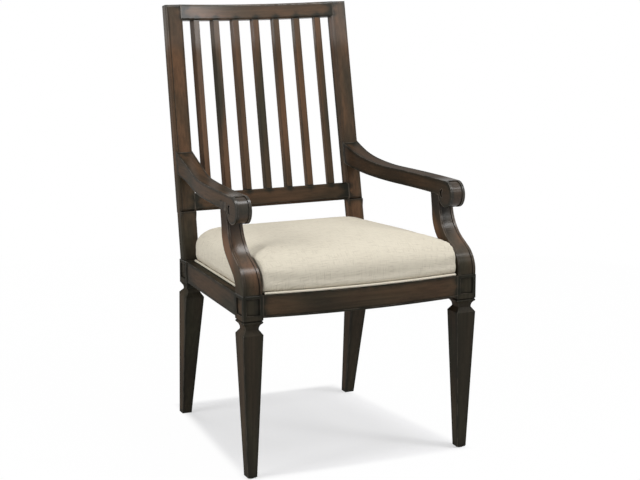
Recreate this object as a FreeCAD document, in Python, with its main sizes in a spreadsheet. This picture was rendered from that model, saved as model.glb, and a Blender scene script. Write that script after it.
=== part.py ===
import FreeCAD, Part

import math
import os
import re

import Sketcher

# Slat-back dining armchair with scroll arms and an upholstered seat.
# The front looks toward -Y, +Z is up, and the origin is on the floor at the centre of the bounding box.
# Depths are counted backward from the front face of the front legs.

Vector = FreeCAD.Vector
Rotation = FreeCAD.Rotation
DOC = FreeCAD.newDocument("slat_back_armchair")

# Driving sizes in millimetres and degrees: alias, value, meaning
SIZES = (
    ("chair_width", 585, "width over the front legs"),
    ("chair_height", 1031, "floor to the top of the back"),
    ("seat_depth", 469, "front leg face to rear block face"),
    ("rear_narrowing", 78, "how much narrower the chair is over the rear blocks"),
    ("seat_fall", 12.5, "how much lower the seat frame sits at the rear"),
    ("leg_square", 48, "section of the leg tops and blocks"),
    ("foot_square", 23, "section of the legs at the floor"),
    ("foot_bevel", 2.5, "bevel round the front feet"),
    ("leg_height", 333.5, "floor to the arris at the top of the front taper"),
    ("shoulder_rise", 11, "height of the slope above the taper"),
    ("neck_square", 32.5, "narrowest section of the neck"),
    ("cove_rise", 15, "height of the hollow under the collar"),
    ("cove_radius", 16, "radius of that hollow"),
    ("collar_square", 45.5, "section of the collar at the root of its bead"),
    ("bead_height", 4.5, "height of the collar bead"),
    ("bead_radius", 3, "radius of the collar bead"),
    ("quirk_height", 2, "groove between the bead and the block"),
    ("block_height", 57, "height of the square blocks"),
    ("block_bevel", 1.2, "bevel on the ends of the blocks"),
    ("panel_side_margin", 8, "border beside a sunk panel"),
    ("panel_top_margin", 7, "border above a sunk panel"),
    ("panel_bottom_margin", 13, "border below a sunk panel"),
    ("panel_sink", 3, "depth of the sunk panels"),
    ("leg_splay", 10.5, "backward lean of the rear legs, degrees"),
    ("glide_diameter", 16, "nylon glide"),
    ("glide_thickness", 1.5, "nylon glide"),
    ("glide_pin_diameter", 3, "nail of the glide"),
    ("glide_pin_length", 14, "nail of the glide"),
    ("rail_rise", 6, "block bottom to rail bottom"),
    ("rail_height", 51, "height of the seat rails"),
    ("front_bow", 20, "how far the front rail swells forward"),
    ("front_rail_thickness", 26, "front seat rail at its ends"),
    ("rail_bead_height", 5, "bead along the bottom of the front rail"),
    ("rail_bead_proud", 1.5, "how far that bead stands out"),
    ("rail_bead_round", 1.3, "rounding of that bead"),
    ("side_rail_thickness", 24, "side seat rails"),
    ("side_rail_setback", 2, "leg face to side rail face"),
    ("rear_rail_thickness", 24, "rear seat rail"),
    ("rear_rail_setback", 10, "rear block face to rear rail face"),
    ("back_rake", 11.1, "backward lean of the back, degrees"),
    ("stile_setback", 19.3, "rear block face to stile face at the block top"),
    ("stile_lean", 0.6, "inward lean of the stiles, degrees"),
    ("stile_inset", 2, "rear block side to stile side"),
    ("stile_width", 42, "width of the stiles"),
    ("stile_depth", 28, "depth of the stiles"),
    ("ovolo_radius", 6, "quarter round along the outer edges of the back"),
    ("ovolo_step", 1.2, "step beside the quarter round"),
    ("inner_bevel", 4, "bevel along the inner edges of the back"),
    ("post_shoulder", 0.5, "step where the post narrows below the back"),
    ("post_bevel", 4.5, "bevelled front corners of the post below the back"),
    ("post_stop", 14, "height of the pointed stops of those bevels"),
    ("lower_rail_rise", 120, "block top to the bottom of the lower back rail"),
    ("lower_rail_height", 44, "lower back rail"),
    ("top_rail_height", 39, "top rail"),
    ("back_rail_thickness", 25, "thickness of both back rails"),
    ("back_bow", 21, "how far the back rails bow backward"),
    ("slat_width", 17.5, "face of a slat"),
    ("slat_depth", 20.5, "depth of a slat"),
    ("slat_foot_gap", 29.5, "stile to the foot of the outer slat"),
    ("slat_head_gap", 28.2, "stile to the head of the outer slat"),
    ("slat_bevel", 1.5, "bevelled slat corners"),
    ("slat_tenon_length", 10, "stub tenons of the slats"),
    ("slat_tenon_width", 9, "stub tenons of the slats"),
    ("slat_tenon_depth", 13, "stub tenons of the slats"),
    ("joint_clearance", 0.2, "play round tenons, dowels and screws"),
    ("arm_joint_height", 675, "floor to the arm top at the stile"),
    ("arm_height", 634, "floor to the level part of the arm"),
    ("arm_width", 37, "width of the arms"),
    ("arm_flare", 5.5, "how much wider inward the arm is at the stile"),
    ("arm_thickness", 36, "thickness of the level part of the arm"),
    ("arm_root_height", 55, "height of the arm at the stile"),
    ("arm_level_reach", 330, "depth where the top starts to rise"),
    ("arm_under_reach", 300, "depth where the underside starts to rise"),
    ("arm_straight", 30, "straight stretch of the arm at the stile"),
    ("arm_sweep_share", 0.184, "share of the outward sweep taken by its rear bend"),
    ("scroll_radius", 31.5, "roll at the arm's end"),
    ("scroll_setback", 46.5, "front leg face to the front of the roll"),
    ("channel_depth", 2.4, "sunk band round the roll and down the support"),
    ("edge_bead", 6, "width of the raised edges beside that band"),
    ("volute_rim", 8, "width of the curled rim behind the hollow of the volute"),
    ("volute_radius", 10, "radius of that hollow's outer edge"),
    ("volute_width", 8, "widest part of that crescent hollow"),
    ("volute_depth", 4, "depth of that hollow"),
    ("support_foot", 9, "straight foot of the front of the arm support"),
    ("support_heel", 3, "straight foot of the rear of the arm support"),
    ("front_low_radius", 60, "lower bend of the support's front"),
    ("front_high_radius", 94, "upper bend of the support's front"),
    ("support_front_lean", 60, "steepest lean of the support's front, degrees"),
    ("front_run", 32, "straight stretch of the support's front"),
    ("rear_low_radius", 45, "lower bend of the support's rear"),
    ("rear_high_radius", 88, "upper bend of the support's rear"),
    ("support_rear_lean", 52, "steepest lean of the support's rear, degrees"),
    ("rear_run", 53, "straight stretch of the support's rear"),
    ("support_lean", 9, "lean of the support at the arm, degrees"),
    ("support_taper_rise", 137, "block top to where the support is as wide as the arm"),
    ("board_thickness", 12, "plywood seat board"),
    ("board_inset", 9, "cushion edge to board edge"),
    ("cushion_side_inset", 18, "side rail face to cushion edge"),
    ("cushion_front_inset", 0.5, "front rail face to cushion edge"),
    ("cushion_rear_reach", 26, "how far the cushion passes between the rear posts"),
    ("cushion_height", 99.5, "rail top to the crown of the cushion"),
    ("cushion_corner", 30, "corner radius of the cushion"),
    ("notch_gap", 0.6, "play where the seat is notched round legs and posts"),
    ("soft_gap", 0.3, "play under and round soft pieces"),
    ("welt_diameter", 5.6, "piping round the foot of the cushion"),
    ("dust_cover_thickness", 0.8, "cloth under the seat"),
    ("dust_cover_margin", 5, "side rail to the edge of that cloth"),
    ("corner_block_reach", 42, "corner block along each rail"),
    ("corner_block_height", 24, "corner blocks"),
    ("corner_block_drop", 1.2, "seat board to corner block"),
    ("screw_diameter", 4.5, "wood screws"),
    ("screw_head_diameter", 9, "wood screws"),
    ("screw_head_height", 3, "wood screws"),
    ("screw_slot", 1.2, "width and depth of the screw slots"),
    ("screw_corner_distance", 16.5, "leg side to the middle of a seat screw"),
    ("screw_corner_setback", 4, "leg back to the middle of a seat screw"),
    ("seat_screw_grip", 9, "how far a seat screw enters the board"),
    ("frame_screw_length", 28, "screws through the corner blocks"),
    ("frame_screw_seat", 8, "wood of the corner block under the head"),
    ("frame_screw_offset", 30, "leg to the screws through the corner blocks"),
    ("dowel_diameter", 9, "beech dowels"),
    ("dowel_length", 36, "beech dowels of the rails"),
    ("dowel_spacing", 24, "distance between the two dowels of a rail joint"),
    ("arm_dowel_length", 28, "dowels of the arms"),
    ("arm_dowel_spacing", 18, "distance between the two dowels of an arm joint"),
    ("cutter_overrun", 5, "how far a cutter passes what it cuts"),
    ("cutter_reach", 1500, "length of cutters that pass right through"),
)

# Heights of the cushion's sections as shares of its height, each with its draw-in as a share of half its width
CUSHION_SECTION_SHARES = (
    (0.0, 0.0436), (0.14, 0.0159), (0.33, 0.0), (0.52, 0.0119), (0.68, 0.0600),
    (0.80, 0.1520), (0.89, 0.3150), (0.955, 0.5353), (1.0, 0.8326),
)

SLAT_COUNT = 7
LOFT_DEGREE = 3
CROWN_CORNER_POWER = 0.5
NEAR = 1e-6
ARC_SHARE = math.tan(math.pi / 8)
SIDES = (("left", -1), ("right", 1))

sheet = DOC.addObject("Spreadsheet::Sheet", "Sizes")
for row, (alias, value, meaning) in enumerate(SIZES, 1):
    sheet.set(f"A{row}", meaning)
    sheet.set(f"B{row}", str(value))
    sheet.setAlias(f"B{row}", alias)
DOC.recompute()


def bound(words):
    """Expression on the size sheet: every alias gets the name of its sheet."""
    return re.sub(r"\b([a-z]+(?:_[a-z]+)+)\b", r"Sizes.\1", words)


def worth(words):
    """Present value of such an expression."""
    return float(sheet.evalExpression(bound(words)))


def size(alias):
    return float(getattr(sheet, alias))


# Places that follow from the sizes, as expressions
NECK_STACK = "shoulder_rise + cove_rise + bead_height + quirk_height"
BLOCK_BOTTOM = f"(leg_height + {NECK_STACK})"
BLOCK_TOP = f"({BLOCK_BOTTOM} + block_height)"
REAR_BLOCK_TOP = f"({BLOCK_TOP} - seat_fall)"
RAIL_BOTTOM = f"({BLOCK_BOTTOM} + rail_rise)"
RAIL_TOP = f"({RAIL_BOTTOM} + rail_height)"
SEAT_SLOPE = "(seat_fall / seat_depth)"
BACK_RUN = f"((chair_height - {REAR_BLOCK_TOP}) / cos(back_rake * 1deg))"
LEG_CENTRE = "((chair_width - leg_square) / 2)"
REAR_WIDTH = "(chair_width - rear_narrowing)"
REAR_CENTRE = f"(({REAR_WIDTH} - leg_square) / 2)"
STILE_OUTER = f"({REAR_WIDTH} / 2 - stile_inset)"
SCROLL_CENTRE = "(scroll_setback + scroll_radius)"


def stile_face(height):
    """Depth of the stile's front face at a height above the floor."""
    return f"(seat_depth + stile_setback + (({height}) - {REAR_BLOCK_TOP}) * tan(back_rake * 1deg))"


def side_rail_face(depth):
    """Distance from the middle of the chair to the outer face of a side rail."""
    taper = "(rear_narrowing / 2 / (seat_depth - leg_square))"
    return f"(chair_width / 2 - side_rail_setback - (({depth}) - leg_square) * {taper})"


BACK_REACH = (f"(seat_depth + stile_setback + {BACK_RUN} * sin(back_rake * 1deg)"
              " + (back_bow + back_rail_thickness) * cos(back_rake * 1deg))")
FRONT_FACE = worth(f"-({BACK_REACH} - front_bow - rail_bead_proud) / 2")
SEAT_ANGLE = math.degrees(math.atan(worth(SEAT_SLOPE)))
RAKE_TURN = Rotation(Vector(1, 0, 0), -size("back_rake"))
BACK = FreeCAD.Placement(Vector(0, FRONT_FACE + worth("seat_depth + stile_setback"), worth(REAR_BLOCK_TOP)),
                         RAKE_TURN)
SEAT = FreeCAD.Placement(Vector(0, FRONT_FACE, worth(RAIL_TOP)), Rotation(Vector(1, 0, 0), -SEAT_ANGLE))
FLOOR = FreeCAD.Placement(Vector(0, FRONT_FACE, 0), Rotation())
FRONT_VIEW = Rotation(Vector(1, 0, 0), 90)
SIDE_VIEW = Rotation(Vector(1, 1, 1), 120)
TOP_VIEW = Rotation()

nodes = {}


def keep(thing, label):
    """Give a finished piece its name and put it on the list of nodes."""
    thing.Label = label
    nodes[label] = thing
    return thing


# Drawing
def bend(start, end, radius):
    """Arc between two points; with a positive radius its centre is on the left of the way there."""
    chord = end - start
    side = math.copysign(1, radius)
    left = Vector(-chord.y, chord.x, 0).normalize()
    height = math.sqrt(max(radius ** 2 - (chord.Length / 2) ** 2, 0))
    centre = (start + end) * 0.5 + left * (side * height)
    first, last = (start, end) if side > 0 else (end, start)
    angles = [math.atan2(point.y - centre.y, point.x - centre.x) for point in (first, last)]
    if angles[1] < angles[0]:
        angles[1] += 2 * math.pi
    return Part.ArcOfCircle(Part.Circle(centre, Vector(0, 0, 1), abs(radius)), *angles)


def draw(sketch, corners):
    """Closed outline whose corners are expressions: (x, y) or (x, y, radius of the arc that follows)."""
    points = [Vector(worth(corner[0]), worth(corner[1]), 0) for corner in corners]
    count = len(points)
    ends = []
    for index, corner in enumerate(corners):
        start, end = points[index], points[(index + 1) % count]
        if len(corner) == 2:
            sketch.addGeometry(Part.LineSegment(start, end), False)
            ends.append((1, 2))
            continue
        radius = worth(corner[2])
        sketch.addGeometry(bend(start, end, radius), False)
        ends.append((1, 2) if radius > 0 else (2, 1))
        mark = sketch.addConstraint(Sketcher.Constraint("Radius", index, abs(radius)))
        sketch.renameConstraint(mark, f"radius{index}")
        sketch.setExpression(f"Constraints.radius{index}", bound(f"abs({corner[2]}) * 1mm"))
    for index, corner in enumerate(corners):
        before = index - 1 if index else count - 1
        sketch.addConstraint(Sketcher.Constraint("Coincident", before, ends[before][1], index, ends[index][0]))
        for kind, words, now in (("DistanceX", corner[0], points[index].x),
                                 ("DistanceY", corner[1], points[index].y)):
            name = f"{kind[-1].lower()}{index}"
            mark = sketch.addConstraint(Sketcher.Constraint(kind, -1, 1, index, ends[index][0], now))
            sketch.renameConstraint(mark, name)
            sketch.setExpression(f"Constraints.{name}", bound(f"({words}) * 1mm"))
    return sketch


def free_sketch(name, corners, turn=TOP_VIEW):
    """Sketch that stands by itself in the plane of a view."""
    sketch = DOC.addObject("Sketcher::SketchObject", name)
    sketch.Placement = FreeCAD.Placement(Vector(), turn)
    return draw(sketch, corners)


def extrusion(name, corners, length, turn=TOP_VIEW, symmetric=True):
    made = DOC.addObject("Part::Extrusion", name)
    made.Base = free_sketch(name + "_outline", corners, turn)
    made.DirMode = "Normal"
    made.Solid = True
    made.Symmetric = symmetric
    made.setExpression("LengthFwd", bound(f"({length}) * 1mm"))
    return made


def sawn(name, first, second):
    """Piece sawn to two views: what two extrusions, each (outline, length, view), have in common."""
    made = DOC.addObject("Part::Common", name)
    made.Base = extrusion(name + "_first", first[0], first[1], first[2])
    made.Tool = extrusion(name + "_second", second[0], second[1], second[2])
    return made


def pad(made, name, corners, length, lift="0"):
    """Pad of a closed outline on the body's own XY plane, lifted by an expression."""
    sketch = made.newObject("Sketcher::SketchObject", name + "_outline")
    plane = next(item for item in made.Origin.OriginFeatures if item.Role == "XY_Plane")
    sketch.AttachmentSupport = [(plane, "")]
    sketch.MapMode = "FlatFace"
    sketch.setExpression("AttachmentOffset.Base.z", bound(f"({lift}) * 1mm"))
    draw(sketch, corners)
    feature = made.newObject("PartDesign::Pad", name)
    feature.Profile = sketch
    feature.setExpression("Length", bound(f"({length}) * 1mm"))
    return feature


def body(name):
    return DOC.addObject("PartDesign::Body", name)


def box(name, length, width, height):
    made = DOC.addObject("Part::Box", name)
    for side, words in (("Length", length), ("Width", width), ("Height", height)):
        made.setExpression(side, bound(f"({words}) * 1mm"))
    return made


def place(thing, base, turn=None):
    thing.Placement = FreeCAD.Placement(Vector(base), turn or Rotation())
    return thing


def group(name, members):
    made = DOC.addObject("Part::Compound", name)
    made.Links = list(members)
    return made


def fused(name, members):
    made = DOC.addObject("Part::MultiFuse", name)
    made.Shapes = list(members)
    return made


def cut(name, base, tools):
    made = DOC.addObject("Part::Cut", name)
    made.Base = base
    made.Tool = tools[0] if len(tools) == 1 else group(name + "_tools", tools)
    return made


def peg(name, middle, axis, length, radius):
    """Cylinder centred on a point, along an axis."""
    made = DOC.addObject("Part::Cylinder", name)
    made.setExpression("Height", bound(f"({length}) * 1mm"))
    made.setExpression("Radius", bound(f"({radius}) * 1mm"))
    axis = Vector(axis).normalize()
    return place(made, middle - axis * (worth(length) / 2), Rotation(Vector(0, 0, 1), axis))


def mirrored(side, corners):
    """Outline for one side of the chair: across and bends change sign together."""
    return [(f"{side} * ({corner[0]})", corner[1]) + tuple(f"{side} * ({word})" for word in corner[2:])
            for corner in corners]


# Dowels and the holes that they need
dowels = {"seat_rail_dowels": [], "back_rail_dowels": [], "arm_dowels": []}
holes = {}


def dowel_joint(family, name, middle, axis, spread, pieces, length="dowel_length", spacing="dowel_spacing"):
    """Two dowels side by side across a joint, and their holes in both pieces."""
    for number, way in enumerate((-1, 1), 1):
        centre = middle + Vector(spread).normalize() * (way * size(spacing) / 2)
        title = f"{name}_{number}"
        dowels[family].append(peg(title, centre, axis, length, "dowel_diameter / 2"))
        for piece in pieces:
            hole = peg(f"{title}_hole_{piece}", centre, axis, f"{length} + 2 * joint_clearance",
                       "dowel_diameter / 2 + joint_clearance")
            holes.setdefault(piece, []).append(hole)


def drilled(label, blank):
    """Finished node: the blank less its dowel holes."""
    if label in holes:
        blank = cut(label, blank, holes[label])
    return keep(blank, label)


# Legs: square taper, sloped shoulder, hollow neck, collar bead
def leg_half(height, foot):
    shoulder = f"{height} + shoulder_rise"
    cove = f"{shoulder} + cove_rise"
    return foot + [
        ("leg_square / 2", height),
        ("neck_square / 2", shoulder, "-cove_radius"),
        ("collar_square / 2", cove, "bead_radius"),
        ("collar_square / 2", f"{cove} + bead_height"),
    ]


def block_half(bottom, top):
    return [
        ("leg_square / 2 - block_bevel", bottom),
        ("leg_square / 2", f"{bottom} + block_bevel"),
        ("leg_square / 2", f"{top} - block_bevel"),
        ("leg_square / 2 - block_bevel", top),
    ]


def both_halves(half):
    """Outline symmetric about the upright axis, from its right half listed upward."""
    other = []
    for index in range(len(half) - 1, -1, -1):
        bend_before = half[index - 1][2:] if index else ()
        other.append((f"-({half[index][0]})", half[index][1]) + tuple(bend_before))
    return half + other


def square_turned(name, half):
    """Piece with the same outline from the front and from the side."""
    outline = both_halves(half)
    return sawn(name, (outline, "2 * leg_square", FRONT_VIEW), (outline, "2 * leg_square", SIDE_VIEW))


def panel_cutters(name, centre, bottom, side, faces):
    """Box cutters for the sunk panels in the named faces of a block."""
    turns = {"front": 0, "outer": 90 * side, "rear": 180}
    run = worth("leg_square / 2 - panel_side_margin")
    cutters = []
    for face in faces:
        made = box(f"{name}_{face}_panel", "leg_square - 2 * panel_side_margin", "2 * panel_sink",
                   "block_height - panel_top_margin - panel_bottom_margin")
        turn = Rotation(Vector(0, 0, 1), turns[face])
        corner = turn.multVec(Vector(-run, -worth("leg_square / 2 + panel_sink"), size("panel_bottom_margin")))
        cutters.append(place(made, centre + Vector(0, 0, bottom) + corner, turn))
    return cutters


def front_leg(word, side):
    label = f"front_leg_{word}"
    foot = [("foot_square / 2 - foot_bevel", "glide_thickness"),
            ("foot_square / 2", "glide_thickness + foot_bevel")]
    half = leg_half("leg_height", foot)
    half.append(("collar_square / 2 - quirk_height / 2", f"{BLOCK_BOTTOM} - quirk_height / 2"))
    half += block_half(BLOCK_BOTTOM, BLOCK_TOP)
    centre = Vector(side * worth(LEG_CENTRE), FRONT_FACE + worth("leg_square / 2"), 0)
    blank = place(square_turned(label + "_blank", half), centre)
    panels = panel_cutters(label, centre, worth(BLOCK_BOTTOM), side, ("front", "outer"))
    return cut(label + "_panelled", blank, panels)


# Rear posts: splayed leg, block, bevelled post and moulded stile, sawn from one board
def stile_section(side):
    """Section of a stile: quarter round at the outer front corner, bevel at the inner one."""
    return mirrored(side, [
        ("inner_bevel - stile_width", "0"),
        ("-ovolo_radius", "0"),
        ("-ovolo_radius", "ovolo_step", "ovolo_radius"),
        ("0", "ovolo_step + ovolo_radius"),
        ("0", "stile_depth"),
        ("-stile_width", "stile_depth"),
        ("-stile_width", "inner_bevel"),
    ])


def post_section(side):
    return mirrored(side, [
        ("post_shoulder - stile_width", "post_shoulder"),
        ("-post_shoulder", "post_shoulder"),
        ("-post_shoulder", "stile_depth - post_shoulder"),
        ("post_shoulder - stile_width", "stile_depth - post_shoulder"),
    ])


def bevel_cutter(name, across, frame):
    """Square bar on edge along a front corner of the post, pointed at its upper end."""
    half = "(post_bevel / sqrt(2))"
    point = "(lower_rail_rise - cutter_overrun)"
    outline = [
        (f"-{half}", "-block_height"),
        (half, "-block_height"),
        (half, f"{point} - post_stop"),
        ("0", point),
        (f"-{half}", f"{point} - post_stop"),
    ]
    made = sawn(name, (outline, "2 * leg_square", FRONT_VIEW), (outline, "2 * leg_square", SIDE_VIEW))
    corner = FreeCAD.Placement(Vector(across, size("post_shoulder"), 0), Rotation(Vector(0, 0, 1), 45))
    made.Placement = frame.multiply(corner)
    return made


def moulding_cutter(name, edge, way, half_length):
    """Cutter that leaves a stepped quarter round along a front edge of the back, at a height in the back."""
    tip = f"({edge} - {way} * ovolo_radius)"
    return extrusion(name, [
        ("-cutter_overrun", tip),
        ("ovolo_step", tip, f"-{way} * ovolo_radius"),
        ("ovolo_step + ovolo_radius", edge),
        ("ovolo_step + ovolo_radius", f"{edge} + {way} * cutter_overrun"),
        ("-cutter_overrun", f"{edge} + {way} * cutter_overrun"),
    ], half_length, SIDE_VIEW)


def rear_post(word, side):
    label = f"rear_post_{word}"
    axis_height = "((leg_height - seat_fall) / cos(leg_splay * 1deg))"
    foot = [("foot_square / 2", "-leg_square / 4")]
    half = leg_half(axis_height, foot)
    half.append(("collar_square / 2 - quirk_height / 2", f"{axis_height} + {NECK_STACK} + block_bevel"))
    pivot = Vector(side * worth(REAR_CENTRE), FRONT_FACE + worth("seat_depth + leg_square / 2"),
                   worth(f"{BLOCK_BOTTOM} - seat_fall"))
    splay = Rotation(Vector(1, 0, 0), size("leg_splay"))
    leg = square_turned(label + "_leg", half)
    place(leg, pivot - splay.multVec(Vector(0, 0, worth(f"{axis_height} + {NECK_STACK}"))), splay)
    floor = box(label + "_floor", "chair_width", "chair_width", "leg_square")
    half_width = worth("chair_width / 2")
    place(floor, pivot + Vector(-half_width, -half_width, worth("glide_thickness - leg_square") - pivot.z))
    leg = cut(label + "_leg_on_floor", leg, [floor])
    block = square_turned(label + "_block", block_half("0", "block_height"))
    place(block, pivot)
    block = cut(label + "_block_panelled", block, panel_cutters(label, Vector(pivot.x, pivot.y, 0), pivot.z,
                                                                side, ("outer", "rear")))
    lean = BACK.multiply(FreeCAD.Placement(Vector(side * worth(STILE_OUTER), 0, 0),
                                           Rotation(Vector(0, 1, 0), -side * size("stile_lean"))))
    post = extrusion(label + "_post", post_section(side), "lower_rail_rise + block_height / 2", symmetric=False)
    post.Placement = lean.multiply(FreeCAD.Placement(Vector(0, 0, -size("block_height") / 2), Rotation()))
    corners = [bevel_cutter(f"{label}_{corner}_bevel", side * worth(across), lean) for corner, across in
               (("outer", "-post_shoulder"), ("inner", "post_shoulder - stile_width"))]
    post = cut(label + "_post_bevelled", post, corners)
    stile = extrusion(label + "_stile", stile_section(side), f"{BACK_RUN} - lower_rail_rise", symmetric=False)
    stile.Placement = lean.multiply(FreeCAD.Placement(Vector(0, 0, size("lower_rail_rise")), Rotation()))
    top = moulding_cutter(label + "_top_moulding", BACK_RUN, 1, "cutter_reach")
    foot_moulding = moulding_cutter(label + "_foot_moulding", "lower_rail_rise", -1, "cutter_reach")
    top.Placement = BACK
    foot_moulding.Placement = BACK
    stile = cut(label + "_stile_moulded", stile, [top, foot_moulding])
    return fused(label + "_blank", [leg, block, post, stile])


# Back rails and slats, drawn in the plane of the back
def inner_half(height):
    """Half the opening between the stiles at a height along the back."""
    return f"({STILE_OUTER} - stile_width - ({height}) * tan(stile_lean * 1deg))"


def bow_radius(half):
    return f"(({half} ^ 2 + back_bow ^ 2) / (2 * back_bow))"


def bowed_section(half, inset="0"):
    """Plan of a back rail between two arcs about one centre, a little longer than the opening."""
    radius = bow_radius(half)
    end = f"({half} + cutter_overrun)"
    front = f"(sqrt({radius} ^ 2 - {end} ^ 2) - {radius} + back_bow + {inset})"
    rear = f"(sqrt(({radius} + back_rail_thickness) ^ 2 - {end} ^ 2) - {radius} + back_bow)"
    return [
        (f"-{end}", front, f"-({radius} + {inset})"),
        (end, front),
        (end, rear, f"{radius} + back_rail_thickness"),
        (f"-{end}", rear),
    ]


def arcs_at(feature, level, radius):
    """Names of a feature's round edges of one radius at one level."""
    return [f"Edge{number}" for number, edge in enumerate(feature.Shape.Edges, 1)
            if edge.Curve.TypeId == "Part::GeomCircle" and abs(edge.CenterOfMass.z - level) < NEAR
            and abs(edge.Curve.Radius - radius) < NEAR]


def back_rail(label, bottom, height, moulded_end):
    """Bowed rail with a stepped quarter round along its outer front edge."""
    half = inner_half(f"{bottom} + {height} / 2")
    made = body(label + "_body")
    cap = "(ovolo_radius)"
    main_lift = bottom if moulded_end > 0 else f"{bottom} + {cap}"
    cap_lift = f"{bottom} + {height} - {cap}" if moulded_end > 0 else bottom
    pad(made, "field", bowed_section(half), f"{height} - {cap}", main_lift)
    edge = pad(made, "cap", bowed_section(half, "ovolo_step"), cap, cap_lift)
    DOC.recompute()
    level = worth(f"{bottom} + {height}") if moulded_end > 0 else worth(bottom)
    round_over = made.newObject("PartDesign::Fillet", "quarter_round")
    round_over.Base = (edge, arcs_at(edge, level, worth(f"{bow_radius(half)} + ovolo_step")))
    round_over.setExpression("Radius", bound("(ovolo_radius - ovolo_step / 2) * 1mm"))
    made.Tip = round_over
    DOC.recompute()
    level = worth(bottom) if moulded_end > 0 else worth(f"{bottom} + {height}")
    bevel = made.newObject("PartDesign::Chamfer", "inner_bevel")
    bevel.Base = (round_over, arcs_at(round_over, level, worth(bow_radius(half))))
    bevel.setExpression("Size", bound("inner_bevel * 1mm"))
    made.Tip = bevel
    made.Placement = BACK
    return made


LOWER_RAIL_TOP = "(lower_rail_rise + lower_rail_height)"
TOP_RAIL_BOTTOM = f"({BACK_RUN} - top_rail_height)"
SLAT_RUN = f"({TOP_RAIL_BOTTOM} - {LOWER_RAIL_TOP})"


def slat_place(number, height, gap):
    """Distance of a slat from the middle at a height, with the outer ones a gap away from the stiles."""
    outer = worth(f"{inner_half(height)} - {gap} - slat_width / 2")
    return outer * (2 * (number - 1) / (SLAT_COUNT - 1) - 1)


def slat_placement(number):
    """Slats stand on the bow of the rails, closer together at their heads than at their feet."""
    across = slat_place(number, LOWER_RAIL_TOP, "slat_foot_gap")
    radius = worth(bow_radius(inner_half(LOWER_RAIL_TOP)))
    depth = math.sqrt(radius ** 2 - across ** 2) - radius + size("back_bow") + size("back_rail_thickness") / 2
    turn = Rotation(Vector(0, 0, 1), -math.degrees(math.asin(across / radius)))
    drift = slat_place(number, TOP_RAIL_BOTTOM, "slat_head_gap") - across
    lean = Rotation(Vector(0, 1, 0), math.degrees(math.atan(drift / worth(SLAT_RUN))))
    return BACK.multiply(FreeCAD.Placement(Vector(across, depth, worth(LOWER_RAIL_TOP)), lean.multiply(turn)))


def rectangle(width, depth):
    return [(f"-({width}) / 2", f"-({depth}) / 2"), (f"({width}) / 2", f"-({depth}) / 2"),
            (f"({width}) / 2", f"({depth}) / 2"), (f"-({width}) / 2", f"({depth}) / 2")]


def bevelled(width, depth, bevel):
    x, y = f"{width} / 2", f"{depth} / 2"
    return [(f"{bevel} - {x}", f"-{y}"), (f"{x} - {bevel}", f"-{y}"), (x, f"{bevel} - {y}"),
            (x, f"{y} - {bevel}"), (f"{x} - {bevel}", y), (f"{bevel} - {x}", y),
            (f"-{x}", f"{y} - {bevel}"), (f"-{x}", f"{bevel} - {y}")]


def slat(number):
    label = f"back_slat_{number}"
    made = body(label)
    pad(made, "bar", bevelled("slat_width", "slat_depth", "slat_bevel"), SLAT_RUN)
    pad(made, "tenons", rectangle("slat_tenon_width", "slat_tenon_depth"),
        f"{SLAT_RUN} + 2 * slat_tenon_length", "-slat_tenon_length")
    made.Placement = slat_placement(number)
    mortise = body(label + "_mortise")
    pad(mortise, "mortise", rectangle("slat_tenon_width + 2 * joint_clearance",
                                      "slat_tenon_depth + 2 * joint_clearance"),
        f"{SLAT_RUN} + 2 * slat_tenon_length + 2 * joint_clearance", "-slat_tenon_length - joint_clearance")
    mortise.Placement = made.Placement
    keep(made, label)
    return mortise


# Seat rails
def planed(label, made, depth):
    """Upright rail whose front edge reaches the plane of the seat at a depth and whose top follows it."""
    made.Placement = FreeCAD.Placement(Vector(0, FRONT_FACE, worth(f"{RAIL_TOP} - {SEAT_SLOPE} * ({depth})")),
                                       Rotation())
    plane = box(label + "_plane", "chair_width", "chair_width", "leg_square")
    plane.Placement = SEAT.multiply(FreeCAD.Placement(
        Vector(-worth("chair_width / 2"), worth(f"{depth} - leg_square"), 0), Rotation()))
    return cut(label + "_planed", made, [plane])


def front_seat_rail():
    """Rail that swells forward, with a bead along its bottom edge."""
    made = body("front_seat_rail_body")
    half = f"({LEG_CENTRE} - leg_square / 2)"
    radius = f"(({half} ^ 2 + front_bow ^ 2) / (2 * front_bow))"

    def section(proud):
        return [
            (f"-{half}", f"-{proud}", radius),
            (half, f"-{proud}"),
            (half, "front_rail_thickness"),
            (f"-{half}", "front_rail_thickness"),
        ]

    pad(made, "rail", section("0"), "rail_height", "-rail_height")
    bead = pad(made, "bead", section("rail_bead_proud"), "rail_bead_height", "-rail_height")
    DOC.recompute()
    rounded = made.newObject("PartDesign::Fillet", "bead_round")
    rounded.Base = (bead, arcs_at(bead, -size("rail_height"), worth(radius)))
    rounded.setExpression("Radius", bound("rail_bead_round * 1mm"))
    made.Tip = rounded
    return planed("front_seat_rail", made, "0")


def side_seat_rail(word, side):
    """Rail that tapers in toward the rear and falls with the seat."""
    label = f"side_seat_rail_{word}"
    plan = mirrored(side, [
        (side_rail_face("leg_square"), "leg_square"),
        (side_rail_face("seat_depth"), "seat_depth"),
        (f"{side_rail_face('seat_depth')} - side_rail_thickness", "seat_depth"),
        (f"{side_rail_face('leg_square')} - side_rail_thickness", "leg_square"),
    ])
    elevation = [
        ("leg_square", f"{RAIL_BOTTOM} - {SEAT_SLOPE} * leg_square"),
        ("seat_depth", f"{RAIL_BOTTOM} - {SEAT_SLOPE} * seat_depth"),
        ("seat_depth", f"{RAIL_TOP} - {SEAT_SLOPE} * seat_depth"),
        ("leg_square", f"{RAIL_TOP} - {SEAT_SLOPE} * leg_square"),
    ]
    made = sawn(label + "_blank", (plan, "cutter_reach", TOP_VIEW), (elevation, "cutter_reach", SIDE_VIEW))
    made.Placement = FLOOR
    return made


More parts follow.
